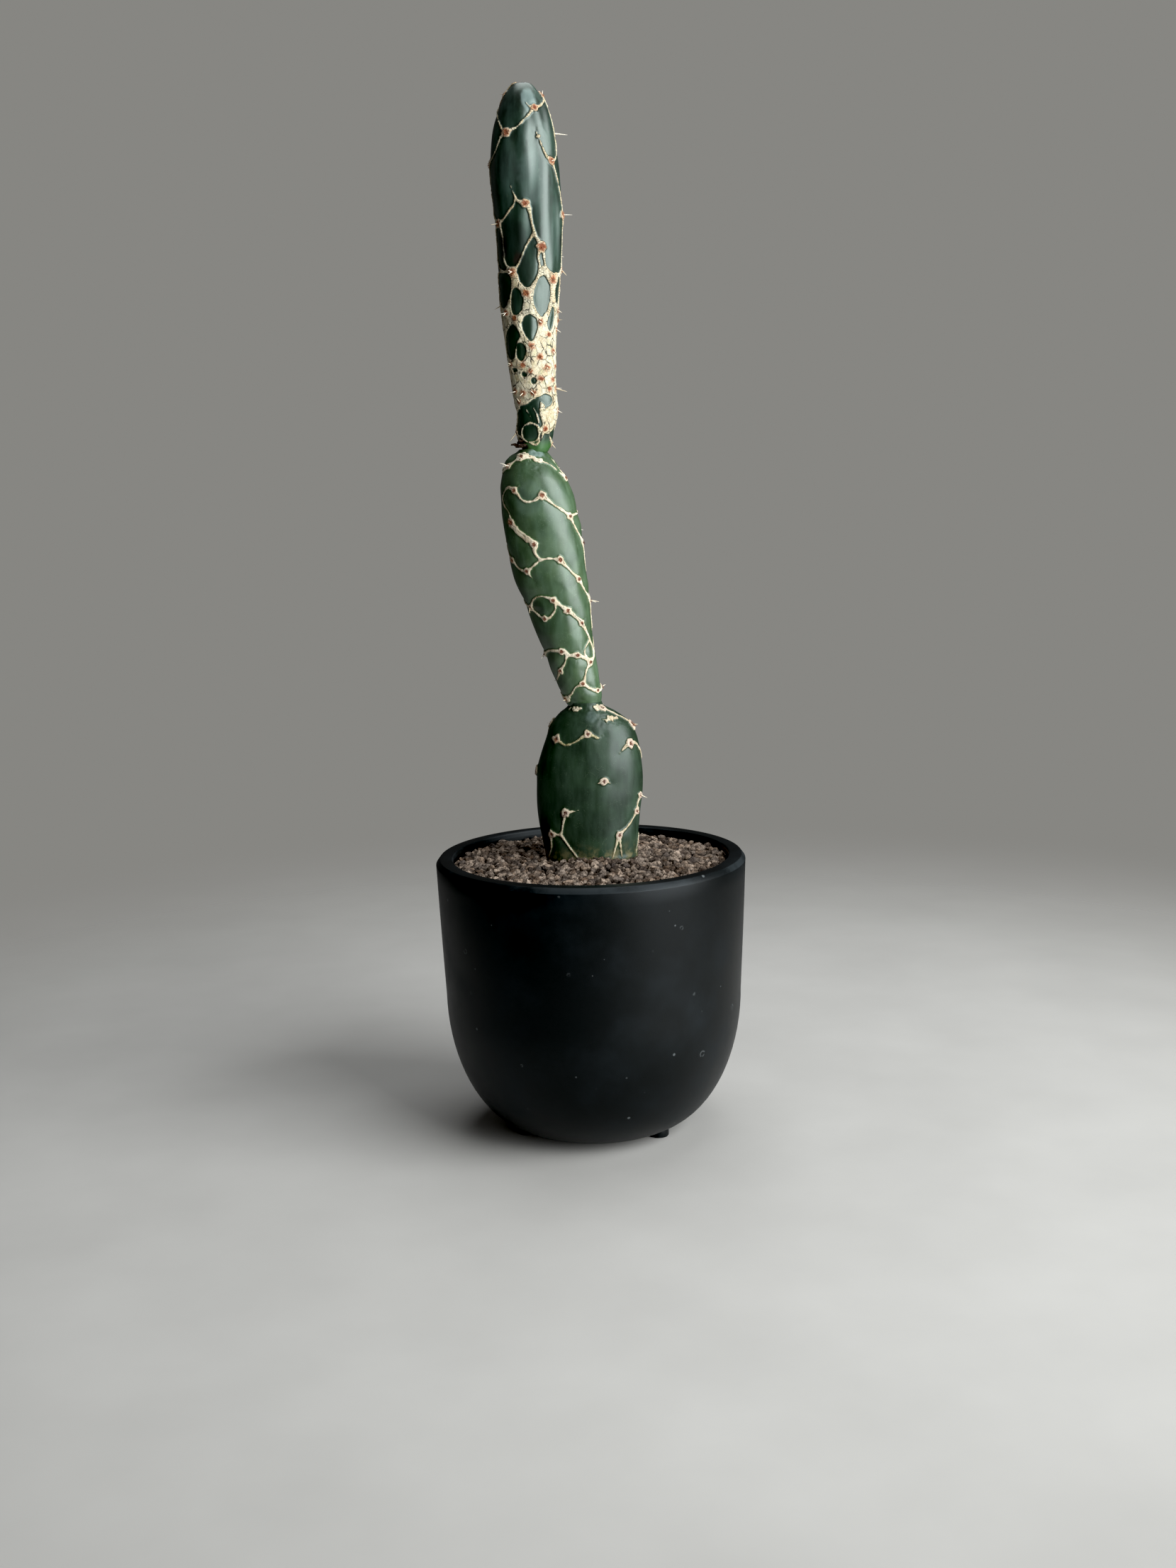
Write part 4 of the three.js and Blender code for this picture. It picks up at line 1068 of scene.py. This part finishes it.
def relief(pad, skin, points, u, a):
    """Height of the real surface over the bare skin, and the fields that the finish reads."""
    seed = pad["seed"]
    depth, along, olive = cork_fields(pad, skin, points, u, a)
    radii, far = np.full(len(points), 9.0), np.full(len(points), 99.0)
    for name, z, degrees, r in pad["spots"]:
        away = lengths(points - skin.point(z, degrees))
        radii, far = np.minimum(radii, away / r), np.minimum(far, away)
    radii = radii * (1 + 0.35 * cloud(points, 1.3, seed + 40))
    wobble = pad["ragged"] * (0.13 * cloud(points, 1.7, seed) + 0.09 * cloud(points, 0.8, seed + 5))
    depth = depth + wobble * ease_array(depth, -1.2, -0.1)
    amount, reach = pad["swell"]
    swell = amount * (0.2 - np.exp(-np.maximum(-depth, 0) / reach))
    depth = np.maximum(depth, np.minimum((1.12 - radii) * 1.3, 0.5))
    cork = ease_array(depth, -CORK_EDGE / 2, CORK_EDGE / 2)
    lumps = cork * (0.12 * cloud(points, 0.9, seed + 9) + 0.1 * cloud(points, 2.2, seed + 10))
    ring = FELT_HEIGHT * np.exp(-((radii - 0.75) / 0.35) ** 2)
    ring = ring - FELT_HOLLOW * np.exp(-(radii / 0.35) ** 2)
    bump = BUMP_HEIGHT * np.exp(-(far / BUMP_REACH) ** 2)
    ribs = pad["ribs"] * cloud(points, (4.2, 4.2, 30), seed + 20)
    waves = WAVE_HEIGHT * cloud(points, 11, seed + 30)
    height = CORK_RISE * cork + lumps + swell + ring * pad["ring"] + bump + ribs + waves
    # The marks paint light on the skin: a strength above nought is a pale painted highlight, one from
    # nought down to about -0.5 is painted shade, and lower ones are dark dry scars.
    mark = np.zeros(len(points))
    for z, degrees, high, wide, strength in pad["marks"]:
        inside = in_oval(points, skin, z, degrees, high, wide) + 0.5 * cloud(points, 1.6, seed + 60)
        mark = mark + strength * ease_array(inside, 0, 0.4 * min(high, wide))
    return height, {"cork": depth, "along": along, "olive": olive, "spot": radii, "mark": mark}


# %% A pad with its relief
RING_STEP = 3
CAGE_SAMPLES = 400
CAGE_ANGLE = 1.2
FINE_LEVELS = 3
END_ROOM = 0.6
ON_RIM = 0.975


def pad_cage(pad, skin):
    """The closed cage, with rings at even steps along the skin."""
    u = np.linspace(0, skin.last, CAGE_SAMPLES)
    front = skin.at(u, np.full(CAGE_SAMPLES, CAGE_ANGLE))
    run = run_along(front)
    count = round(run[-1] / RING_STEP)
    middle, wide, deep, z = skin.section(np.interp(np.linspace(0, run[-1], count + 1), run, u))
    rings = [(x, PLANT_Y, h, w, d) for x, w, d, h in zip(middle, wide, deep, z)]
    return draw_up(pad["node"] + "_skin", rings, pad["sides"])


def make_pad(pad):
    skin = Skin(pad)
    piece = pad_cage(pad, skin)
    finish_with(piece, "SUBSURF", subdivision_type="SIMPLE", levels=FINE_LEVELS,
                render_levels=FINE_LEVELS)
    flat = np.empty(3 * len(piece.data.vertices))
    piece.data.vertices.foreach_get("co", flat)
    points = flat.reshape(-1, 3) / MM
    u = skin.u_of(points[:, 2])
    middle, wide, deep, _ = skin.section(u)
    across = (points[:, 0] - middle) / np.maximum(wide, 1e-6)
    front = (PLANT_Y - points[:, 1]) / np.maximum(deep, 1e-6)
    a = np.arctan2(across, front)
    low, high = skin.heights[0], skin.heights[-1]
    at_end = np.minimum(points[:, 2] - low, high - points[:, 2]) < 1e-3
    on_side = ~at_end | (np.hypot(across, front) > ON_RIM)
    bare = np.where(on_side[:, None], skin.at(u, a), points)
    height, fields = relief(pad, skin, bare, u, a)
    z, start = bare[:, 2], pad["net_from"]
    air = ease_array(z, start - 0.5, start + 1.5) if start else 1
    ends = np.clip((high - z) / END_ROOM, 0, 1), np.clip((z - low) / END_ROOM, 0, 1)
    height = height * air * ends[0] * ends[1] * on_side
    points = bare + skin.axes(u, a)[2] * height[:, None]
    piece.data.vertices.foreach_set("co", (points * MM).ravel())
    for field, values in fields.items():
        carry(piece, field, values)
    smooth(piece)
    stand_for(piece, pad["node"])
    return piece


skins = [make_pad(pad) for pad in PADS]

# %% [markdown]
# From each spot grow a tuft of short barbed bristles and one or two longer pale spines. A
# particle system could plant them, but an export drops particles. So three tufts and one spine
# are modelled, and copied to each spot.

# %% One spine and three tufts
SPINE_RINGS = [(0, 0, -0.25, 0.17, 0.17), (0, 0, 0.1, 0.16, 0.16), (0.012, 0, 0.45, 0.12, 0.12),
               (0.04, 0, 0.75, 0.07, 0.07), (0.08, 0, 1, 0.012, 0.012)]
TUFT_BRISTLES = 20

spine_model = draw_up("spine", SPINE_RINGS, 6)
rng = random.Random(5)


def tuft(name, spread):
    """A tuft of thin cones that fan out from the middle of a spot one millimetre in radius."""
    bpy.ops.object.select_all(action="DESELECT")
    cones = []
    for _ in range(TUFT_BRISTLES):
        lean, turn = spread * math.sqrt(rng.random()), rng.uniform(0, 2 * math.pi)
        way = Vector((math.sin(lean) * math.cos(turn), math.sin(lean) * math.sin(turn), math.cos(lean)))
        long = rng.uniform(0.6, 1.35)
        foot = Vector((math.cos(turn), math.sin(turn), 0)) * 0.6 * lean / spread
        bpy.ops.mesh.primitive_cone_add(vertices=3, radius1=0.09 * MM, radius2=0.02 * MM,
                                        depth=long * MM, location=(foot + way * long / 2) * MM,
                                        rotation=way.to_track_quat("Z", "Y").to_euler())
        cones.insert(0, bpy.context.object)
    made = join(cones, name)
    bpy.ops.object.transform_apply()
    return made


tufts = [tuft("tuft_a", 0.8), tuft("tuft_b", 1.05), tuft("tuft_c", 0.95)]
print("faces of a tuft:", len(tufts[0].data.polygons))

# %% Tufts and spines on the pads
SPINE_LENGTH = [1.6, 3.4]
BIG_SPOT = 1.45
TWIN_STEP = 0.36
HAIR_SEED = 10


def standing(root, way, side, thick, long):
    """The matrix that stands a model's Z axis along a direction."""
    x = side.cross(way).normalized()
    turned = Matrix((x, way.cross(x).normalized(), way.normalized())).transposed().to_4x4()
    return Matrix.Translation(root * MM) @ turned @ Matrix.Diagonal((thick, thick, long, 1))


def clothe(pad):
    """Gives one pad its tufts and its spines, as two pieces."""
    skin, draw = Skin(pad), random.Random(pad["seed"] + HAIR_SEED)
    tuft_places, spine_places = [], []
    for name, z, degrees, r in pad["spots"]:
        root = Vector(skin.point(z, degrees))
        u, a = skin.place(z, degrees)
        up, about, out = [Vector(v[0]) for v in skin.axes(np.array([u]), np.array([a]))]
        size = r / 1.5
        for step in [-TWIN_STEP, TWIN_STEP] if r >= BIG_SPOT else [0]:
            side = (up + about * draw.uniform(-1, 1)).normalized()
            foot = root + about * step * r + up * draw.uniform(-0.2, 0.2) * r
            way = (out + about * step * 0.5 + up * draw.uniform(-0.2, 0.4)).normalized()
            tuft_places.append(standing(foot + out * 0.25, way, side, size, size * pad["tuft_size"]))
        seen = [spine for spot, *spine in pad["spines"] if spot == name]
        guessed = [[draw.uniform(-0.9, 0.9), draw.uniform(-0.7, 0.5), draw.uniform(*SPINE_LENGTH)]
                   for _ in range(draw.choice([0, 0, 1, 1, 2]))]
        for across, rise, long in seen if seen or name in pad["bald"] else guessed:
            way = (out + about * across + up * rise).normalized()
            spine_places.append(standing(root + out * 0.35, way, up, 1 + 0.15 * long, long))
    tints = [draw.random() for _ in tuft_places + spine_places]
    node = pad["node"]
    pieces = [joined_copies(node + "_bristles", tufts, tuft_places, tints),
              joined_copies(node + "_spines", [spine_model], spine_places, tints[len(tuft_places):])]
    for piece in pieces:
        smooth(piece)
        stand_for(piece, node)
    return pieces


hairs = [clothe(pad) for pad in PADS]
for model in [spine_model, *tufts]:
    bpy.data.objects.remove(model)

# %% [markdown]
# Skin, cork and bristle spots grow into each other, so one material paints all three and reads
# how deep each point lies in the cork from the mesh. Separate materials would need a hard edge
# between faces. Here noise breaks the edge up, far finer than the mesh. The three pads differ in
# their colours and shares alone, so these stand in a table: lower, middle and upper pad.

# %% Looks of the pads
LOOKS = """
deep #192819 #31482b #0a160b
fresh #273a27 #4b6242 #182d1e
speck #7c9277 #93a98c #7c9277
specks 0.3 0.5 0.08
bloom #4a6050 #6a8770 #445f54
bloom_share 0.3 0.3 0.55
rim #243a1f #3b5c2b #101f16
scuffs 0.5 0.25 0.15
foot 0 0 #35602a
dust 0.8 0 0
cork #e6dcc2 #f1e8d0 #ebe3c8
tan #b49c76 #cfb48a #c9a674
tanning 0.6 0.45 0.5
old #8f7a5c #9a7a52 #ad8c5c
moss 0.35 0.1 0.45
outline 0.55 0.5 0.4
fissure #3f3122 #3f3122 #22180f
hairlines 0.35 0.15 0.3
felt #d9c2b4 #e8d6bd #b5643a
heart #5a2c20 #8a4a2c #86401f
heart_size 0.3 0.45 0.5
rough 0.4 0.4 0.42
shine 0.5 0.6 0.9
coat 0 0.35 0.6
glint #f4ffff #f4ffff #dcf2ea
"""


def looks_of(column):
    """One pad's column of the table: a colour is a code, anything else a number."""
    looks = SimpleNamespace()
    for name, *values in map(str.split, LOOKS.strip().split("\n")):
        value = values[column]
        setattr(looks, name, value[1:] if value.startswith("#") else float(value))
    return looks


print("cork colours:", [looks_of(column).cork for column in range(3)])

# %% Finish of the pads
BEAD = 0.95
PLATE = 2.5
SCRATCHES = 0.1
SOIL_DUST = [0.108, 0.1155]
GREEN_BELOW = [0.295, 0.345]
FOOT_BELOW = [0.2645, 0.2685]


def cork_cracks(where, start, looks, beads, cork_depth, edge):
    """How dark the cracks are, and the tone of each plate between them."""
    plates = shaken(stretched(where, 0.68), 1.3, 1)
    plate_edge = cells(plates, PLATE, feature="DISTANCE_TO_EDGE")
    opening = ease(grains(where, 3.1), 0.35, 0.6) * 0.8 + 0.2
    crack = (1 - ease(plate_edge, 0.015, 0.085)) * opening * ease(cork_depth, 0.25, 0.7)
    along = attribute(start, "along") + (grains(where, 1.5) - 0.5) * 1.6
    bead = ease(along.maths("SINE", along * (2 * math.pi / BEAD)), 0.72, 0.98)
    bead = bead * (1 - ease(cork_depth, 0.55, 1))
    hairline = 1 - ease(cells(shaken(where, 0.9, 0.5), 0.8, feature="DISTANCE_TO_EDGE"), 0.01, 0.07)
    dark = crack.maths("MAXIMUM", crack, bead * beads)
    dark = dark.maths("MAXIMUM", dark, hairline * looks.hairlines) * ease(edge, -0.05, 0.35)
    return dark, channel(cells(plates, PLATE, "Color"), 0)


def pad_green(where, looks, cork_depth, mark, streaks):
    """Colour of the bare skin: bloom, specks, scuffs, thin scratches, painted highlights, painted
    shade, dust and its foot.
    """
    green = mix(looks.deep, looks.fresh, ease(grains(where, 9, 3), 0.35, 0.7))
    specks = 1 - ease(cells(where, 0.62), 0.1, 0.26)
    green = mix(green, looks.speck, specks * ease(grains(where, 3), 0.4, 0.7) * looks.specks)
    green = mix(green, looks.bloom, ease(streaks, 0.32, 0.75) * looks.bloom_share)
    green = mix(green, looks.rim, ease(cork_depth, -0.9, -0.05) * 0.45)
    scuffs = ease(grains(shaken(where, 6, 5), 0.5), 0.69, 0.76) * ease(grains(where, 8), 0.5, 0.7)
    green = mix(green, looks.bloom, scuffs * looks.scuffs)
    contour = grains(where, 4.5, 1) - 0.5
    arcs = 1 - ease(contour.maths("ABSOLUTE", contour), 0.003, 0.011)
    green = mix(green, looks.speck, arcs * ease(grains(where, 3), 0.55, 0.62) * SCRATCHES)
    # Painted highlight: pale blue-grey where the marks are positive.
    green = mix(green, "8fa5a3", ease(mark, 0, 1))
    # Painted shade: darker green where the marks are a little below nought.
    green = mix(green, "040904", ease(mark * -1, 0, 0.5) * 0.7)
    if looks.dust:
        dusty = (1 - ease(height_of(where), *SOIL_DUST)) * ease(grains(where, 3.5, 4, 0.6), 0.42, 0.62)
        green = mix(green, "76704f", dusty * looks.dust)
    if looks.foot:
        green = mix(green, "0c2811", (1 - ease(height_of(where), *GREEN_BELOW)) * 0.65)
        green = mix(green, looks.foot, 1 - ease(height_of(where), *FOOT_BELOW))
    return green


def pad_cork(where, start, looks, edge, spot, speckled, plate_tone, dark):
    """Colour of the cork: tan plates, moss, age, stains near the spots, a dark outline and cracks."""
    tone = plate_tone * 0.6 + grains(where, 1.4, 3) * 0.6
    cream = mix(looks.cork, looks.tan, ease(tone, 0.45, 0.95) * looks.tanning)
    cream = mix(cream, looks.tan, ease(speckled, 0.52, 0.72) * 0.22)
    cream = mix(cream, "c6c592", ease(grains(where, 2.4, 3), 0.5, 0.68) * looks.moss)
    cream = mix(cream, looks.old, ease(grains(where, 5, 3), 0.5, 0.75) * 0.4)
    olive = attribute(start, "olive") * ease(grains(where, 0.35), 0.3, 0.6)
    cream = mix(cream, "8b8a3e", olive * 0.8)
    stain = (1 - ease(spot, 0.9, 1.9)) * ease(grains(where, 0.9, 3), 0.4, 0.65)
    cream = mix(cream, looks.felt, stain * 0.6)
    outline = ease(edge, -0.04, 0.04) * (1 - ease(edge, 0.05, 0.24))
    cream = mix(cream, looks.old, outline * looks.outline)
    return mix(cream, looks.fissure, dark * 0.94)


def pad_finish(name, looks, beads):
    made, start, where = new_finish(name)
    cork_depth, spot, mark = [attribute(start, field) for field in ("cork", "spot", "mark")]
    fine, speckled = grains(where, 0.35), grains(where, 0.7, 4, 0.6)
    streaks = grains(stretched(where, 0.22), 3.2, 4, 0.6)
    edge = cork_depth + (grains(where, 0.6, 3) - 0.5) * 0.28
    cork = ease(edge, -0.08, 0.1)
    dark, plate_tone = cork_cracks(where, start, looks, beads, cork_depth, edge)
    green = pad_green(where, looks, cork_depth, mark, streaks)
    cream = pad_cork(where, start, looks, edge, spot, speckled, plate_tone, dark)
    skin = mix(green, cream, cork)
    felt_edge = spot + (grains(where, 0.45, 3) - 0.5) * 0.9
    ring = 1 - ease(felt_edge, 0.8, 1.15)
    skin = mix(skin, looks.felt, ring * ease(fine, 0.25, 0.7) * 0.85)
    heart = 1 - ease(felt_edge, looks.heart_size, looks.heart_size + 0.25)
    skin = mix(skin, looks.heart, heart * 0.9)
    # Dark dry scars where the marks lie well below nought.
    skin = mix(skin, "20140d", ease(mark * -1, 0.45, 0.8))
    corky = cork.maths("MAXIMUM", cork, ring)
    rough = looks.rough + corky * (0.88 - looks.rough) + (streaks - 0.5) * 0.14
    texture = (fine * (0.012 + corky * 0.03) + speckled * corky * 0.06
               + plate_tone * ease(cork_depth, 0.55, 1) * 0.1 - dark * corky * 0.18)
    return put_on(made, Base_Color=skin, Roughness=rough, height=texture,
                  Specular_IOR_Level=looks.shine, Coat_Weight=(1 - corky) * looks.coat,
                  Coat_Roughness=0.35, Specular_Tint=colour(looks.glint))


for column, label in enumerate(["dark green pad", "fresh green pad", "blue green pad"]):
    wears = pad_finish(label, looks_of(column), PADS[column]["beads"])
    skins[column].data.materials.append(wears)
    print(skins[column].name, "wears", label)

# %% Finish of spines and bristles
def hair_finish(name, pale, dark, rough):
    made, start, where = new_finish(name)
    tint, streak = attribute(start, "tint"), grains(where, 0.6)
    shade = mix(pale, dark, ease(tint * 0.6 + streak * 0.5, 0.3, 0.85))
    return put_on(made, Base_Color=shade, Roughness=rough + (streak - 0.5) * 0.1)


straw = hair_finish("straw spines", "f6efdf", "e0cfae", 0.4)
rusty = hair_finish("rusty bristles", "c98a52", "8a4526", 0.6)
brown = hair_finish("dark bristles", "a8704c", "5a2a1c", 0.65)
for (bristles, spines), shade in zip(hairs, [brown, brown, rusty]):
    bristles.data.materials.append(shade)
    spines.data.materials.append(straw)
    print(bristles.name, "wear", shade.name)

# %% [markdown]
# Grit is crushed stone: grey-brown, a little mauve, dry and full of pores. The tint that each
# copy carries makes some stones paler or warmer, noise makes the pores, and cells make the lumps.
# Light hardly reaches between real grains, so a point is darker the lower it lies in the pile.

# %% Finish of the grit
OPEN_TO_LIGHT = [0.9, 3]


def stone_finish(name):
    made, start, where = new_finish(name)
    tint, mottled, pores = attribute(start, "tint"), grains(where, 1, 4, 0.65), grains(where, 0.35, 3)
    shade = mix("463b34", "b3a191", ease(tint * 0.55 + mottled * 0.45, 0.2, 0.85))
    warm = tint.maths("FRACT", tint * 7)
    shade = mix(shade, "795f49", ease(warm, 0.62, 0.9) * 0.4)
    shade = mix(shade, "68625f", (1 - ease(warm, 0.08, 0.3)) * 0.35)
    shade = mix(shade, "1d1612", (1 - ease(pores, 0.38, 0.48)) * 0.4)
    shade = mix("0c0907", shade, ease(attribute(start, "lift"), *OPEN_TO_LIGHT))
    lumps = cells(shaken(where, 0.9, 0.4), 1.1)
    shade = mix(shade, "231b16", ease(lumps, 0.5, 0.8) * 0.7)
    return put_on(made, Base_Color=shade, Roughness=0.93, Specular_IOR_Level=0.25,
                  height=mottled * 0.25 + pores * 0.1 - lumps * 0.35)


crushed = stone_finish("crushed stone")
for pile in stone_piles:
    pile.data.materials.append(crushed)
grit_body.data.materials.append(stone_finish("shaded grit"))
print("stones wear", crushed.name)

# %% Finish of the scraps
made, start, where = new_finish("dry scraps")
crumbly = grains(where, 0.8, 3)
put_on(made, Base_Color=mix("1c110b", "4a3222", crumbly), Roughness=0.9, height=crumbly * 0.3)
scraps.data.materials.append(made)
print("scraps wear", made.name)

# %% [markdown]
# The pot's plastic is matt, close to black and slightly blue, with a fine grain from its mould.
# It has picked up dust, pale specks and a few dried rings of water. Its chamfer is paler: worn,
# and with a painted highlight along it.

# %% Finish of the pot
SPECK_CELL = 6
RING_CELL = 14
CHAMFER_FROM = [0.1069, 0.1071]
CHAMFER_TO = [0.1088, 0.109]


def pot_finish():
    made, start, where = new_finish("matt black plastic")
    dusty = ease(grains(where, 26, 4, 0.6), 0.4, 0.8)
    fine = grains(where, 0.25)
    drawn = cells(where, SPECK_CELL, "Color")
    far = cells(where, SPECK_CELL) / (channel(drawn, 1) * 0.08 + 0.02)
    speck = (1 - ease(far, 0.8, 1.3)) * ease(channel(drawn, 0), 0.6, 0.68)
    uneven = shaken(where, 2, 0.5)
    drawn = cells(uneven, RING_CELL, "Color")
    far = cells(uneven, RING_CELL) / (channel(drawn, 0) * 0.05 + 0.03)
    ring = ease(far, 0.6, 1) * (1 - ease(far, 1.1, 1.6)) * ease(channel(drawn, 2), 0.45, 0.55)
    marks = speck * 0.3 + ring * ease(grains(where, 1.3), 0.36, 0.56) * 0.16
    high = height_of(where)
    # Paler band round the top of the chamfer: part wear, part painted highlight of the edge.
    chamfer_wear_and_highlight = ease(high, *CHAMFER_FROM) * (1 - ease(high, *CHAMFER_TO)) * ease(dusty + fine, 0.3, 1.1)
    base = mix("040606", "101518", dusty * 0.8)
    base = mix(base, "343a3d", chamfer_wear_and_highlight * 0.5)
    base = mix(base, "8d9496", marks)
    rough = 0.42 + dusty * 0.1 + (fine - 0.5) * 0.08 + marks * 0.4
    return put_on(made, Base_Color=base, Roughness=rough, height=fine * 0.02,
                  Specular_IOR_Level=0.25, Specular_Tint=colour("f0f6fa"))


pot.data.materials.append(pot_finish())
print("pot wears", pot.data.materials[0].name)

# %% [markdown]
# Last, the size of what was made is set beside the size of the frame.

# %% Sizes
made_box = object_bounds()
print("frame", [round(1000 * v, 1) for v in cad_box[1] - cad_box[0]],
      "made", [round(1000 * v, 1) for v in made_box[1] - made_box[0]])
